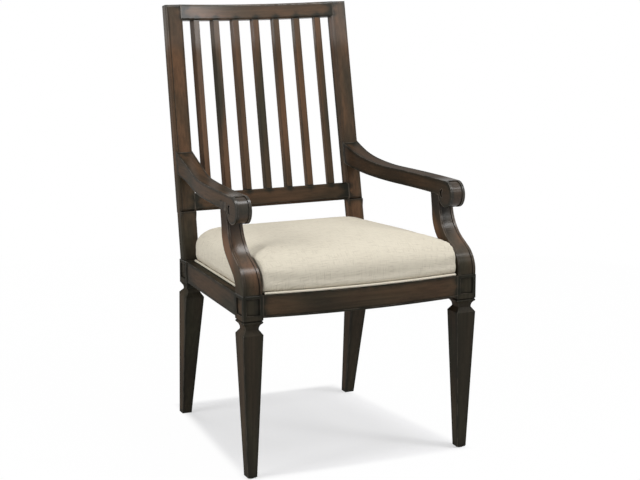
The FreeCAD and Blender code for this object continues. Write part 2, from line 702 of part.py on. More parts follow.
def rear_seat_rail():
    made = body("rear_seat_rail_body")
    half = f"({REAR_CENTRE} - leg_square / 2)"
    front = "seat_depth + rear_rail_setback"
    pad(made, "rail", [(f"-{half}", front), (half, front), (half, f"{front} + rear_rail_thickness"),
                       (f"-{half}", f"{front} + rear_rail_thickness")], "rail_height", "-rail_height")
    return planed("rear_seat_rail", made, front)


# Arms: a swept top, a level front and a roll; in plan they bow outward from the stiles
def arm_elevation():
    inside = "(ovolo_radius + ovolo_step)"
    top_end = f"({stile_face('arm_joint_height')} + {inside})"
    root = "(arm_joint_height - arm_root_height)"
    under_end = f"({stile_face(root)} + {inside})"
    under = "(arm_height - arm_thickness)"
    rise, under_rise = "(arm_joint_height - arm_height)", f"({root} - {under})"
    top_run, under_run = f"({top_end} - arm_level_reach)", f"({under_end} - arm_under_reach)"
    belly = "(scroll_radius ^ 2 - (arm_thickness - scroll_radius) ^ 2)"
    return [
        (top_end, "arm_joint_height", f"-({top_run} ^ 2 + {rise} ^ 2) / (2 * {rise})"),
        ("arm_level_reach", "arm_height"),
        (SCROLL_CENTRE, "arm_height", "scroll_radius"),
        ("scroll_setback", "arm_height - scroll_radius", "scroll_radius"),
        (SCROLL_CENTRE, "arm_height - 2 * scroll_radius", "scroll_radius"),
        (f"{SCROLL_CENTRE} + sqrt({belly})", under),
        ("arm_under_reach", under, f"({under_run} ^ 2 + {under_rise} ^ 2) / (2 * {under_rise})"),
        (under_end, root),
    ]


ARM_REAR_CENTRE = (f"({STILE_OUTER} - (arm_joint_height - {REAR_BLOCK_TOP}) / cos(back_rake * 1deg)"
                   " * tan(stile_lean * 1deg) - arm_width / 2)")


def arm_plan(side):
    """Two tangent bends between straight ends; the inner edge flares to the width of the stile."""
    rear = f"({stile_face('arm_joint_height - arm_root_height')} - arm_straight)"
    far = f"({stile_face('arm_joint_height')} + 2 * leg_square)"
    out, run = f"({LEG_CENTRE} - {ARM_REAR_CENTRE})", f"({rear} - {SCROLL_CENTRE})"
    total = f"(({out} ^ 2 + {run} ^ 2) / (2 * {out}))"
    rear_bend, front_bend = f"(arm_sweep_share * {total})", f"((1 - arm_sweep_share) * {total})"
    middle = f"({ARM_REAR_CENTRE} + arm_sweep_share * {out})"
    middle_depth = f"({rear} - arm_sweep_share * {run})"
    square = f"({run} ^ 2 + {out} ^ 2)"
    aside, back = f"(({run} ^ 2 - {out} ^ 2) / {square})", f"(2 * {run} * {out} / {square})"
    half = "arm_width / 2"
    flared_bend = f"({rear_bend} + {half} + arm_flare / (1 - {aside}))"
    inner_depth = f"({middle_depth} - {back} * {half})"
    return mirrored(side, [
        (f"{ARM_REAR_CENTRE} + {half}", far),
        (f"{ARM_REAR_CENTRE} + {half}", rear, f"{rear_bend} - {half}"),
        (f"{middle} + {aside} * {half}", f"{middle_depth} + {back} * {half}", f"-({front_bend} + {half})"),
        (f"{LEG_CENTRE} + {half}", SCROLL_CENTRE),
        (f"{LEG_CENTRE} + {half}", "-leg_square"),
        (f"{LEG_CENTRE} - {half}", "-leg_square"),
        (f"{LEG_CENTRE} - {half}", SCROLL_CENTRE, f"{front_bend} - {half}"),
        (f"{middle} - {aside} * {half}", inner_depth, f"-{flared_bend}"),
        (f"{ARM_REAR_CENTRE} - {half} - arm_flare", f"{inner_depth} + {back} * {flared_bend}"),
        (f"{ARM_REAR_CENTRE} - {half} - arm_flare", far),
    ])


def roll_band(name, centre_x):
    """Cutter for the sunk band round the roll."""
    low, high = "(scroll_radius - channel_depth)", "(scroll_radius + cutter_overrun)"
    middle = "(arm_height - scroll_radius)"
    made = extrusion(name, [
        (SCROLL_CENTRE, f"{middle} + {low}", low),
        (f"{SCROLL_CENTRE} - {low}", middle, low),
        (SCROLL_CENTRE, f"{middle} - {low}"),
        (SCROLL_CENTRE, f"{middle} - {high}", f"-{high}"),
        (f"{SCROLL_CENTRE} - {high}", middle, f"-{high}"),
        (SCROLL_CENTRE, f"{middle} + {high}"),
    ], "arm_width - 2 * edge_bead", SIDE_VIEW)
    return place(made, Vector(centre_x, FRONT_FACE, 0))


def volute_hollows(name, centre):
    """Crescent cutters for the hollows in both side faces of the roll, toward its rear."""
    crescents = []
    for word, way in SIDES:
        face = centre + Vector(way * worth("arm_width / 2"), 0, 0)
        middle = face + Vector(0, worth("scroll_radius - volute_rim - volute_radius"), 0)
        hollow = peg(f"{name}_{word}_hollow", middle, Vector(1, 0, 0), "2 * volute_depth", "volute_radius")
        boss = peg(f"{name}_{word}_boss", middle - Vector(0, size("volute_width"), 0), Vector(1, 0, 0),
                   "3 * volute_depth", "volute_radius")
        crescents.append(cut(f"{name}_{word}_crescent", hollow, [boss]))
    return crescents


def arm(word, side, post):
    label = f"arm_{word}"
    made = sawn(label + "_sawn", (arm_elevation(), "cutter_reach", SIDE_VIEW),
                (arm_plan(side), "cutter_reach", TOP_VIEW))
    made.Placement = FLOOR
    scribed = cut(label + "_scribed", made, [post])
    centre_x = side * worth(LEG_CENTRE)
    roll = Vector(centre_x, FRONT_FACE + worth(SCROLL_CENTRE), worth("arm_height - scroll_radius"))
    return cut(label + "_carved", scribed, [roll_band(label + "_band", centre_x)] + volute_hollows(label, roll))


# Arm supports: an S seen from the side, narrowing toward the arm seen from the front
SUPPORT_TOP = "(arm_height - arm_thickness / 2)"
SUPPORT_FRONT = ("0", "support_foot", "front_low_radius", "support_front_lean", "front_run", "front_high_radius")
SUPPORT_REAR = ("leg_square - block_bevel", "support_heel", "rear_low_radius", "support_rear_lean", "rear_run",
                "rear_high_radius")


def support_edge(start, foot, low, slope, run, high, shift="0"):
    """One edge of the S: straight foot, bend back, straight stretch, bend upright, straight to the arm."""
    sine, cosine = f"sin({slope} * 1deg)", f"cos({slope} * 1deg)"
    lean_sine, lean_cosine = "sin(support_lean * 1deg)", "cos(support_lean * 1deg)"
    first = (f"({start} + {shift})", BLOCK_TOP)
    second = (first[0], f"({BLOCK_TOP} + {foot})", f"-{low}")
    third = (f"({second[0]} + {low} * (1 - {cosine}))", f"({second[1]} + {low} * {sine})")
    fourth = (f"({third[0]} + {run} * {sine})", f"({third[1]} + {run} * {cosine})", high)
    fifth = (f"({fourth[0]} + {high} * ({lean_cosine} - {cosine}))",
             f"({fourth[1]} + {high} * ({sine} - {lean_sine}))")
    sixth = (f"({fifth[0]} + ({SUPPORT_TOP} - {fifth[1]}) * tan(support_lean * 1deg))", SUPPORT_TOP)
    return [first, second, third, fourth, fifth, sixth]


def reversed_edge(edge):
    """The same edge walked the other way, with its bends kept on their own sides."""
    other = []
    for index in range(len(edge) - 1, -1, -1):
        bend_before = tuple(f"-({word})" for word in edge[index - 1][2:]) if index else ()
        other.append(edge[index][:2] + bend_before)
    return other


def support_front(inset):
    """Front view of a support: as wide as the block below, as wide as the arm above."""
    return both_halves([
        (f"leg_square / 2 - block_bevel - {inset}", BLOCK_TOP),
        (f"leg_square / 2 - block_bevel - {inset}", f"{BLOCK_TOP} + 2 * support_foot"),
        (f"arm_width / 2 - {inset}", f"{BLOCK_TOP} + support_taper_rise"),
        (f"arm_width / 2 - {inset}", SUPPORT_TOP),
    ])


def arm_support(word, side, arm_blank):
    label = f"arm_support_{word}"
    front = support_edge(*SUPPORT_FRONT)
    rear = support_edge(*SUPPORT_REAR)
    reach = "cutter_reach"
    centre = Vector(side * worth(LEG_CENTRE), FRONT_FACE, 0)
    made = sawn(label + "_sawn", (front + reversed_edge(rear), reach, SIDE_VIEW),
                (support_front("0"), reach, FRONT_VIEW))
    place(made, centre)
    sunk = support_edge(*SUPPORT_FRONT, shift="channel_depth")
    proud = support_edge(*SUPPORT_FRONT, shift="-cutter_overrun")
    band = sawn(label + "_band", (sunk + reversed_edge(proud), reach, SIDE_VIEW),
                (support_front("edge_bead"), reach, FRONT_VIEW))
    place(band, centre)
    made = cut(label + "_banded", made, [band])
    return cut(label + "_scribed", made, [arm_blank])


# Seat: board, cushion, piping, dust cover, corner blocks and screws, drawn on the plane of the rail tops
def cushion_side(depth):
    return f"({side_rail_face(depth)} - cushion_side_inset)"


CUSHION_FRONT = "(cushion_front_inset)"
CUSHION_REAR = "(seat_depth + cushion_rear_reach)"
FRONT_NOTCH = "(chair_width / 2 - leg_square - notch_gap)"
REAR_NOTCH = f"({REAR_WIDTH} / 2 - leg_square - notch_gap)"


def notched_outline(inset):
    """Seat outline with square notches for the front legs and the rear posts."""
    inset = f"({inset})"
    half = [
        (f"{FRONT_NOTCH} - {inset}", f"{CUSHION_FRONT} + {inset}"),
        (f"{FRONT_NOTCH} - {inset}", f"leg_square + notch_gap + {inset}"),
        (f"{cushion_side('leg_square')} - {inset}", f"leg_square + notch_gap + {inset}"),
        (f"{cushion_side('seat_depth')} - {inset}", f"seat_depth - notch_gap - {inset}"),
        (f"{REAR_NOTCH} - {inset}", f"seat_depth - notch_gap - {inset}"),
        (f"{REAR_NOTCH} - {inset}", f"{CUSHION_REAR} - {inset}"),
    ]
    return half + [(f"-({corner[0]})", corner[1]) for corner in reversed(half)]


def seat_board():
    made = body("seat_board_body")
    pad(made, "board", notched_outline("board_inset"), "board_thickness")
    made.Placement = SEAT
    return made


def dust_cover():
    inset = "(side_rail_thickness + dust_cover_margin)"
    made = body("dust_cover_body")
    half = [
        (f"{side_rail_face('leg_square')} - {inset}", "leg_square + notch_gap"),
        (f"{side_rail_face('seat_depth')} - {inset}", "seat_depth - notch_gap"),
    ]
    pad(made, "cloth", half + [(f"-({corner[0]})", corner[1]) for corner in reversed(half)],
        "dust_cover_thickness", "-dust_cover_thickness")
    made.Placement = SEAT
    return made


def cushion_section(share, lift):
    """Closed section of the cushion: four sides, the front one bowed, joined by corner arcs."""
    draw_in = share * worth(cushion_side(CUSHION_REAR))
    front_depth = worth(f"{CUSHION_FRONT} - front_bow") + draw_in
    rear_depth = worth(CUSHION_REAR) - draw_in
    corner = size("cushion_corner") * (1 - share) ** CROWN_CORNER_POWER
    bow = size("front_bow")
    front_half = worth(cushion_side(str(front_depth + bow + corner))) - draw_in
    rear_half = worth(cushion_side(str(rear_depth - corner))) - draw_in
    right = [
        Vector(0, front_depth, lift),
        Vector(front_half - corner, front_depth + bow, lift),
        Vector(front_half, front_depth + bow + corner, lift),
        Vector(rear_half, rear_depth - corner, lift),
        Vector(rear_half - corner, rear_depth, lift),
    ]
    left = [Vector(-point.x, point.y, lift) for point in reversed(right[1:])]

    def corner_arc(start, end, apex):
        middle = (start + end) * 0.5
        return Part.Arc(start, middle + (apex - middle) * ARC_SHARE, end).toShape()

    front_apex = Vector(front_half, front_depth + bow, lift)
    rear_apex = Vector(rear_half, rear_depth, lift)
    other = [Vector(-point.x, point.y, lift) for point in (front_apex, rear_apex)]
    return Part.Wire([
        Part.Arc(left[-1], right[0], right[1]).toShape(),
        corner_arc(right[1], right[2], front_apex),
        Part.makeLine(right[2], right[3]),
        corner_arc(right[3], right[4], rear_apex),
        Part.makeLine(right[4], left[0]),
        corner_arc(left[0], left[1], other[1]),
        Part.makeLine(left[1], left[2]),
        corner_arc(left[2], left[3], other[0]),
    ])


def support_notch(name, side):
    """Room for an arm support: all that lies outside its inner face and before its rear edge."""
    edge = support_edge(*SUPPORT_REAR, shift="(block_bevel + notch_gap)")
    low = f"({BLOCK_TOP} - leg_square)"
    outline = [("-leg_square", low), (edge[0][0], low)] + edge + [("-leg_square", SUPPORT_TOP)]
    made = extrusion(name, outline, "chair_width", SIDE_VIEW, symmetric=False)
    start = worth(FRONT_NOTCH) if side > 0 else -worth(f"{FRONT_NOTCH} + chair_width")
    return place(made, Vector(start, FRONT_FACE, 0))


def post_notch(name, side):
    made = box(name, "chair_width", "chair_width", "2 * cushion_height")
    start = worth(REAR_NOTCH) if side > 0 else -worth(f"{REAR_NOTCH} + chair_width")
    corner = Vector(start, worth("seat_depth - notch_gap"), -size("cushion_height"))
    made.Placement = SEAT.multiply(FreeCAD.Placement(corner, Rotation()))
    return made


def seat_cushion():
    """Crowned pad, drawn in at its foot, cut out round supports and posts and for the board."""
    height = size("cushion_height")
    gap = size("soft_gap")
    sections = [cushion_section(draw_share, gap + rise_share * (height - gap))
                for rise_share, draw_share in CUSHION_SECTION_SHARES]
    blank = DOC.addObject("Part::Feature", "seat_cushion_blank")
    blank.Shape = Part.makeLoft(sections, True, False, False, LOFT_DEGREE)
    blank.Placement = SEAT
    recess = body("seat_cushion_recess")
    pad(recess, "recess", notched_outline("board_inset - soft_gap"), "board_thickness + 2 * soft_gap", "-soft_gap")
    recess.Placement = SEAT
    tools = [recess]
    for word, side in SIDES:
        tools.append(support_notch(f"seat_cushion_front_notch_{word}", side))
        tools.append(post_notch(f"seat_cushion_rear_notch_{word}", side))
    return keep(cut("seat_cushion_cut", blank, tools), "seat_cushion")


def tube(start, end, radius, through=None):
    """Round cord along a straight line, or along the arc through a middle point."""
    path = Part.Arc(start, through, end).toShape() if through else Part.makeLine(start, end)
    direction = path.tangentAt(path.FirstParameter)
    ring = Part.Wire(Part.makeCircle(radius, start, direction))
    return Part.Wire(path).makePipeShell([ring], True, False)


def seat_welt():
    """Piping in the drawn-in foot of the cushion: front, both sides and rear."""
    radius = size("welt_diameter") / 2
    lift = size("soft_gap") + radius
    inset = radius + size("soft_gap")
    front_x = worth(FRONT_NOTCH) - inset
    front_y = worth(CUSHION_FRONT) + inset
    bow = size("front_bow")
    rear_x, rear_y = worth(REAR_NOTCH) - inset, worth(CUSHION_REAR) - inset
    low, high = worth("leg_square + notch_gap") + inset, worth("seat_depth - notch_gap") - inset
    cords = [
        tube(Vector(-front_x, front_y, lift), Vector(front_x, front_y, lift), radius,
             Vector(0, front_y - bow, lift)),
        tube(Vector(-rear_x, rear_y, lift), Vector(rear_x, rear_y, lift), radius),
    ]
    for side in (-1, 1):
        ends = [Vector(side * (worth(cushion_side(str(depth))) - inset), depth, lift) for depth in (low, high)]
        cords.append(tube(ends[0], ends[1], radius))
    made = DOC.addObject("Part::Feature", "seat_welt")
    made.Shape = Part.makeCompound(cords)
    made.Placement = SEAT
    return keep(made, "seat_welt")


# Screws: slotted pan heads
def screw(name, seat, direction, length):
    """Screw whose head bears on a point and whose shank runs along a direction, on the seat plane."""
    made = body(name)
    radius, head = "screw_diameter / 2", "screw_head_diameter / 2"
    ring = made.newObject("Sketcher::SketchObject", "profile")
    plane = next(item for item in made.Origin.OriginFeatures if item.Role == "XZ_Plane")
    ring.AttachmentSupport = [(plane, "")]
    ring.MapMode = "FlatFace"
    draw(ring, [
        ("0", "-screw_head_height"),
        (f"{head} - screw_slot", "-screw_head_height"),
        (head, "screw_slot - screw_head_height"),
        (head, "0"),
        (radius, "0"),
        (radius, f"{length} - screw_diameter"),
        ("0", length),
    ])
    turned = made.newObject("PartDesign::Revolution", "turned")
    turned.Profile = ring
    turned.ReferenceAxis = (ring, ["V_Axis"])
    turned.Angle = 360
    slot = made.newObject("Sketcher::SketchObject", "slot_outline")
    base = next(item for item in made.Origin.OriginFeatures if item.Role == "XY_Plane")
    slot.AttachmentSupport = [(base, "")]
    slot.MapMode = "FlatFace"
    slot.setExpression("AttachmentOffset.Base.z", bound("-screw_head_height * 1mm"))
    draw(slot, rectangle("screw_head_diameter", "screw_slot"))
    sunk = made.newObject("PartDesign::Pocket", "slot")
    sunk.Profile = slot
    sunk.setExpression("Length", bound("screw_slot * 1mm"))
    sunk.Reversed = True
    made.Placement = SEAT.multiply(FreeCAD.Placement(seat, Rotation(Vector(0, 0, 1), direction)))
    return made


screws = {"seat_screws": [], "corner_block_screws": []}


def screw_hole(name, seat, direction, length, bore):
    """Clearance hole for a screw: shank below its seat, head above it."""
    axis = Vector(direction).normalize()
    shank = peg(name + "_shank", seat + axis * (worth(length) / 2), axis, f"{length} + joint_clearance",
                "screw_diameter / 2 + joint_clearance")
    parts = [shank]
    if bore:
        head = peg(name + "_head", seat - axis * (worth(bore) / 2), axis, bore,
                   "screw_head_diameter / 2 + joint_clearance")
        parts.append(head)
    made = fused(name, parts) if bore else shank
    made.Placement = SEAT.multiply(made.Placement)
    return made


def corner_block(end, word, side, neighbours):
    """Block glued and screwed into a corner of the seat frame, with its screws."""
    label = f"corner_block_{end}_{word}"
    front = end == "front"
    way = 1 if front else -1
    leg_x = f"({LEG_CENTRE} - leg_square / 2)" if front else f"({REAR_CENTRE} - leg_square / 2)"
    leg_depth = "leg_square" if front else "seat_depth"
    rail_depth = "front_rail_thickness" if front else "seat_depth + rear_rail_setback"
    far_depth = f"({leg_depth} + {way} * corner_block_reach)"
    made = body(label + "_body")
    outline = mirrored(side, [
        (f"{leg_x} - corner_block_reach", rail_depth),
        (leg_x, rail_depth),
        (leg_x, leg_depth),
        (f"{side_rail_face(leg_depth)} - side_rail_thickness", leg_depth),
        (f"{side_rail_face(far_depth)} - side_rail_thickness", far_depth),
    ])
    pad(made, "block", outline, "corner_block_height", "-corner_block_drop - corner_block_height")
    made.Placement = SEAT
    middle = worth("-corner_block_drop - corner_block_height / 2")
    low = worth("-corner_block_drop - corner_block_height")
    offset = size("frame_screw_offset")
    to_cross = Vector(0, -way, 0)
    to_side = Vector(side, 0, 0)
    cross_seat = Vector(side * (worth(leg_x) - offset), worth(rail_depth) + way * size("frame_screw_seat"), middle)
    side_depth = f"({leg_depth} + {way} * frame_screw_offset)"
    side_seat = Vector(side * (worth(f"{side_rail_face(side_depth)} - side_rail_thickness")
                               - size("frame_screw_seat")), worth(side_depth), middle)
    seat_seat = Vector(side * worth(f"{leg_x} - screw_corner_distance"),
                       worth(f"{leg_depth} - {way} * screw_corner_setback"), low)
    long_seat = "corner_block_height + corner_block_drop + seat_screw_grip"
    jobs = (
        ("cross", "corner_block_screws", cross_seat, to_cross, "frame_screw_length", "corner_block_reach",
         f"{end}_seat_rail"),
        ("side", "corner_block_screws", side_seat, to_side, "frame_screw_length", "corner_block_reach",
         f"side_seat_rail_{word}"),
        ("seat", "seat_screws", seat_seat, Vector(0, 0, 1), long_seat, None, "seat_board"),
    )
    for job, family, seat, direction, length, bore, other in jobs:
        title = f"{label}_{job}_screw"
        screws[family].append(screw(title, seat, direction, length))
        for piece in (label, other) + (("dust_cover",) if job == "seat" else ()):
            hole = screw_hole(f"{title}_hole_{piece}", seat, direction, length, bore)
            holes.setdefault(piece, []).append(hole)
    return cut(label + "_fitted", made, neighbours)


def glides():
    """Nylon glide and nail under each foot."""
    made = []
    pivot = worth(f"{BLOCK_BOTTOM} - seat_fall")
    rear_shift = pivot * math.tan(math.radians(size("leg_splay")))
    spots = [("front", worth(LEG_CENTRE), FRONT_FACE + worth("leg_square / 2")),
             ("rear", worth(REAR_CENTRE), FRONT_FACE + worth("seat_depth + leg_square / 2") + rear_shift)]
    for end, across, depth in spots:
        for word, side in SIDES:
            name = f"glide_{end}_{word}"
            centre = Vector(side * across, depth, 0)
            pad_disc = peg(name + "_disc", centre + Vector(0, 0, worth("glide_thickness / 2")), Vector(0, 0, 1),
                           "glide_thickness", "glide_diameter / 2")
            nail_middle = centre + Vector(0, 0, worth("(glide_thickness + glide_pin_length) / 2"))
            nail = peg(name + "_nail", nail_middle, Vector(0, 0, 1), "glide_thickness + glide_pin_length",
                       "glide_pin_diameter / 2")
            made.append(fused(name, [pad_disc, nail]))
            owner = f"front_leg_{word}" if end == "front" else f"rear_post_{word}"
            hole = peg(name + "_hole", nail_middle, Vector(0, 0, 1),
                       "glide_thickness + glide_pin_length + 2 * joint_clearance",
                       "glide_pin_diameter / 2 + joint_clearance")
            holes.setdefault(owner, []).append(hole)
    return made


# Blanks
leg_blanks = {word: front_leg(word, side) for word, side in SIDES}
post_blanks = {word: rear_post(word, side) for word, side in SIDES}
arm_blanks = {word: arm(word, side, post_blanks[word]) for word, side in SIDES}
support_blanks = {word: arm_support(word, side, arm_blanks[word]) for word, side in SIDES}
side_rail_blanks = {word: side_seat_rail(word, side) for word, side in SIDES}
mortises = [slat(number) for number in range(1, SLAT_COUNT + 1)]
back_rails = {
    "lower_back_rail": ("lower_rail_rise", "lower_rail_height", -1),
    "top_rail": (TOP_RAIL_BOTTOM, "top_rail_height", 1),
}
posts = [post_blanks["left"], post_blanks["right"]]
back_blanks = {}
for label, (bottom, height, end) in back_rails.items():
    fitted = cut(label + "_fitted", back_rail(label, bottom, height, end), posts)
    back_blanks[label] = cut(label + "_mortised", fitted, mortises)
cross_rails = {"front": front_seat_rail(), "rear": rear_seat_rail()}
corner_posts = {"front": leg_blanks, "rear": post_blanks}
block_blanks = {(end, word): corner_block(end, word, side, [corner_posts[end][word], cross_rails[end]])
                for end in cross_rails for word, side in SIDES}

# Dowel joints
rail_middle = worth(f"({RAIL_BOTTOM} + {RAIL_TOP}) / 2")
slope = worth(SEAT_SLOPE)
UP, ACROSS, BACKWARD = Vector(0, 0, 1), Vector(1, 0, 0), Vector(0, 1, 0)
for word, side in SIDES:
    leg, post = f"front_leg_{word}", f"rear_post_{word}"
    depth = worth("front_rail_thickness / 2")
    dowel_joint("seat_rail_dowels", f"front_joint_{word}",
                Vector(side * worth(f"{LEG_CENTRE} - leg_square / 2"), FRONT_FACE + depth,
                       rail_middle - slope * depth), ACROSS, UP, (leg, "front_seat_rail"))
    for end, piece in (("leg_square", leg), ("seat_depth", post)):
        depth = worth(end)
        middle_x = worth(f"{side_rail_face(end)} - side_rail_thickness / 2")
        dowel_joint("seat_rail_dowels", f"side_joint_{end}_{word}",
                    Vector(side * middle_x, FRONT_FACE + depth, rail_middle - slope * depth),
                    BACKWARD, UP, (piece, f"side_seat_rail_{word}"))
    depth = worth("seat_depth + rear_rail_setback + rear_rail_thickness / 2")
    dowel_joint("seat_rail_dowels", f"rear_joint_{word}",
                Vector(side * worth(f"{REAR_CENTRE} - leg_square / 2"), FRONT_FACE + depth,
                       rail_middle - slope * depth), ACROSS, UP, (post, "rear_seat_rail"))
    for label, (bottom, height, end) in back_rails.items():
        level = f"{bottom} + {height} / 2"
        middle = Vector(side * worth(inner_half(level)), worth("back_rail_thickness / 2"), worth(level))
        dowel_joint("back_rail_dowels", f"{label}_joint_{word}", BACK.multVec(middle), ACROSS,
                    RAKE_TURN.multVec(UP), (post, label))
    root = worth("arm_joint_height - arm_root_height / 2")
    middle = Vector(side * worth(ARM_REAR_CENTRE), FRONT_FACE + worth(stile_face(str(root))), root)
    dowel_joint("arm_dowels", f"arm_joint_{word}", middle, RAKE_TURN.multVec(BACKWARD), RAKE_TURN.multVec(UP),
                (post, f"arm_{word}"), "arm_dowel_length", "arm_dowel_spacing")
    dowel_joint("arm_dowels", f"support_foot_joint_{word}",
                Vector(side * worth(LEG_CENTRE), FRONT_FACE + worth("leg_square / 2"), worth(BLOCK_TOP)),
                UP, ACROSS, (leg, f"arm_support_{word}"), "arm_dowel_length", "arm_dowel_spacing")
    front_top = worth(support_edge(*SUPPORT_FRONT)[-1][0])
    rear_top = worth(support_edge(*SUPPORT_REAR)[-1][0])
    middle = Vector(side * worth(LEG_CENTRE), FRONT_FACE + (front_top + rear_top) / 2,
                    worth("arm_height - arm_thickness"))
    dowel_joint("arm_dowels", f"support_head_joint_{word}", middle, UP, BACKWARD,
                (f"arm_{word}", f"arm_support_{word}"), "arm_dowel_length", "arm_dowel_spacing")

glide_set = glides()

# Finished nodes
for word, side in SIDES:
    drilled(f"front_leg_{word}", leg_blanks[word])
    drilled(f"rear_post_{word}", post_blanks[word])
    drilled(f"arm_{word}", arm_blanks[word])
    drilled(f"arm_support_{word}", support_blanks[word])
    drilled(f"side_seat_rail_{word}", side_rail_blanks[word])
    for end in ("front", "rear"):
        drilled(f"corner_block_{end}_{word}", block_blanks[end, word])
for label, blank in back_blanks.items():
    drilled(label, blank)
for end in cross_rails:
    drilled(f"{end}_seat_rail", cross_rails[end])
drilled("seat_board", seat_board())
drilled("dust_cover", dust_cover())
seat_cushion()
seat_welt()
for label, members in {**dowels, **screws, "leg_glides": glide_set}.items():
    keep(group(label, members), label)

DOC.recompute()

# Checks before anything is written
faults = [item.Label for item in DOC.Objects if {"Invalid", "Error"} & set(item.State)]
for label, thing in nodes.items():
    if thing.Shape.isNull() or not thing.Shape.isValid() or not thing.Shape.Solids:
        faults.append(label)
if faults:
    raise ValueError("faulty objects: " + ", ".join(faults))

os.makedirs("parts", exist_ok=True)
for label, thing in nodes.items():
    thing.Shape.exportStep(f"parts/{label}.step")
whole = Part.makeCompound([thing.Shape for thing in nodes.values()]).BoundBox
print("box", [round(value, 2) for value in (whole.XMin, whole.XMax, whole.YMin, whole.YMax, whole.ZMin, whole.ZMax)])
print("nodes", len(nodes))
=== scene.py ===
"""Slat-back armchair: linen seat, piping, dust cover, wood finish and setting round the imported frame."""

from collections import namedtuple
import math

import bmesh
import bpy
import numpy as np
from bpy.props import FloatProperty, FloatVectorProperty, PointerProperty
from mathutils import Matrix, Vector
from mathutils.bvhtree import BVHTree


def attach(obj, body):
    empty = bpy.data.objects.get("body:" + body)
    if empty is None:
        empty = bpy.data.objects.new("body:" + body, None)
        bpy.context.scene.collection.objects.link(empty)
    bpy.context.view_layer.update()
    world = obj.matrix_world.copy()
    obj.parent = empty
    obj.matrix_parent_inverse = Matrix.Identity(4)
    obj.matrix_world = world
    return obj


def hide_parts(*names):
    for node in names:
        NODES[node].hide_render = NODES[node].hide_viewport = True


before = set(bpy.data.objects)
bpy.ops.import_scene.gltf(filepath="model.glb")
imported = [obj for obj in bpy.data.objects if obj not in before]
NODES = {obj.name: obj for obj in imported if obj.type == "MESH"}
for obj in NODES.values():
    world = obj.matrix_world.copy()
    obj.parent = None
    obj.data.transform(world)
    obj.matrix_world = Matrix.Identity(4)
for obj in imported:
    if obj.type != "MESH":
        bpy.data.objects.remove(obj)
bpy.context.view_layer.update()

bl_info = {
    "name": "Slat-back armchair",
    "version": (1, 0, 0),
    "blender": (4, 5, 0),
    "location": "3D View > Sidebar > Armchair",
    "description": "Upholstery, finishes and setting of a slat-back dining armchair",
    "category": "Object",
}

SIDES = ("left", "right")
WHITE = (1.0, 1.0, 1.0, 1.0)
# The seat's own plane: its origin is at the front of the chair on the rail tops, and it falls to the rear
SEAT_FALL = math.atan2(12.5, 469)
SEAT = Matrix.Translation((0, -0.31684, 0.423)) @ Matrix.Rotation(-SEAT_FALL, 4, "X")
BACK_RAKE = math.radians(11.1)
SIDE_TAPER = math.atan2(39, 421)
# In the seat's plane: half the width of the cushion's space, the depth at which it is that wide, its height
SEAT_HALF_WIDTH, SEAT_WIDE_AT, CROWN = 0.2725, 0.048, 0.0995
# Half the width between the feet, amid the chair, and half the depth; half the width of the floor
FEET_HALF_WIDTH, FEET_HALF_DEPTH = 0.244, 0.305
FLOOR_REACH = 14


# Sizes and colours that a user would change
def length_of(name, value, words):
    return FloatProperty(name=name, description=words, default=value, min=0, max=2, unit="LENGTH",
                         precision=5)


def share_of(name, value, words):
    return FloatProperty(name=name, description=words, default=value, min=0, max=1, subtype="FACTOR")


def amount_of(name, value, words, low, high):
    return FloatProperty(name=name, description=words, default=value, min=low, max=high)


def angle_of(name, degrees, words):
    return FloatProperty(name=name, description=words, default=math.radians(degrees), unit="ROTATION")


def colour_of(name, value, words):
    return FloatVectorProperty(name=name, description=words, default=value, size=3, min=0, max=1,
                               subtype="COLOR")


class WoodSizes(bpy.types.PropertyGroup):
    body: colour_of("Body", (0.064, 0.046, 0.029), "Espresso stain over the flat of the wood")
    low_body: colour_of("Lower body", (0.038, 0.0325, 0.0235), "Deeper stain on legs and seat frame")
    # The glaze colour also paints the shade in hollows and under the roll
    glaze: colour_of("Glaze", (0.016, 0.0138, 0.0108), "Dark glaze in streaks and pores")
    rub: colour_of("Rub-through", (0.160, 0.084, 0.046), "Warm wood where the stain is rubbed thin")
    haze: colour_of("Edge glaze", (0.018, 0.0185, 0.0145), "Greenish dark glaze toward the edges")
    olive: colour_of("Olive glaze", (0.048, 0.045, 0.030), "Yellow-green glaze drifting over the stain")
    # The worn arris colour also serves as a painted highlight along the edges
    arris: colour_of("Worn arris", (0.24, 0.19, 0.15), "Lighter wood along the sharp edges")
    streak_width: length_of("Streak width", 0.0050, "Width of the grain's streaks")
    streak_length: length_of("Streak length", 0.24, "Length of the grain's streaks")
    edge_reach: length_of("Edge glaze reach", 0.0125, "How far the dark glaze comes in from an edge")
    arris_reach: length_of("Arris reach", 0.0022, "Width of the worn arris")
    low_rub: share_of("Lower rub-through", 0.22, "Share of the rub-through on legs and seat frame")
    ease: length_of("Eased edge", 0.0009, "Rounding that the light sees on sharp edges")


class LinenSizes(bpy.types.PropertyGroup):
    light_yarn: colour_of("Light yarn", (0.735, 0.68, 0.56), "Oatmeal yarn of the linen")
    dark_yarn: colour_of("Dark yarn", (0.52, 0.465, 0.37), "Natural flax yarn of the linen")
    piping: colour_of("Piping", (0.71, 0.66, 0.545), "Linen of the piping, seen on the bias")
    yarn: length_of("Yarn pitch", 0.00115, "Distance between the yarns")
    slub: length_of("Slub length", 0.028, "Length of the thick places in the yarns")
    voxel: length_of("Remesh size", 0.0055, "Face size of the pad before it is swelled")
    ease: length_of("Starting ease", 0.0012, "How much smaller the pad starts than its cover")
    cap: length_of("Swell limit", 0.0026, "Farthest that the cloth may move a point")
    proud: length_of("Proud", 0.0012, "How far the cover may stand out of its space")
    pressure: amount_of("Pressure", 4, "Pressure of the filling", 0, 20)
    fill: share_of("Fill", 0.75, "How full the pad is")
    pucker: length_of("Pucker depth", 0.0009, "Depth of the creases drawn from the arm supports")


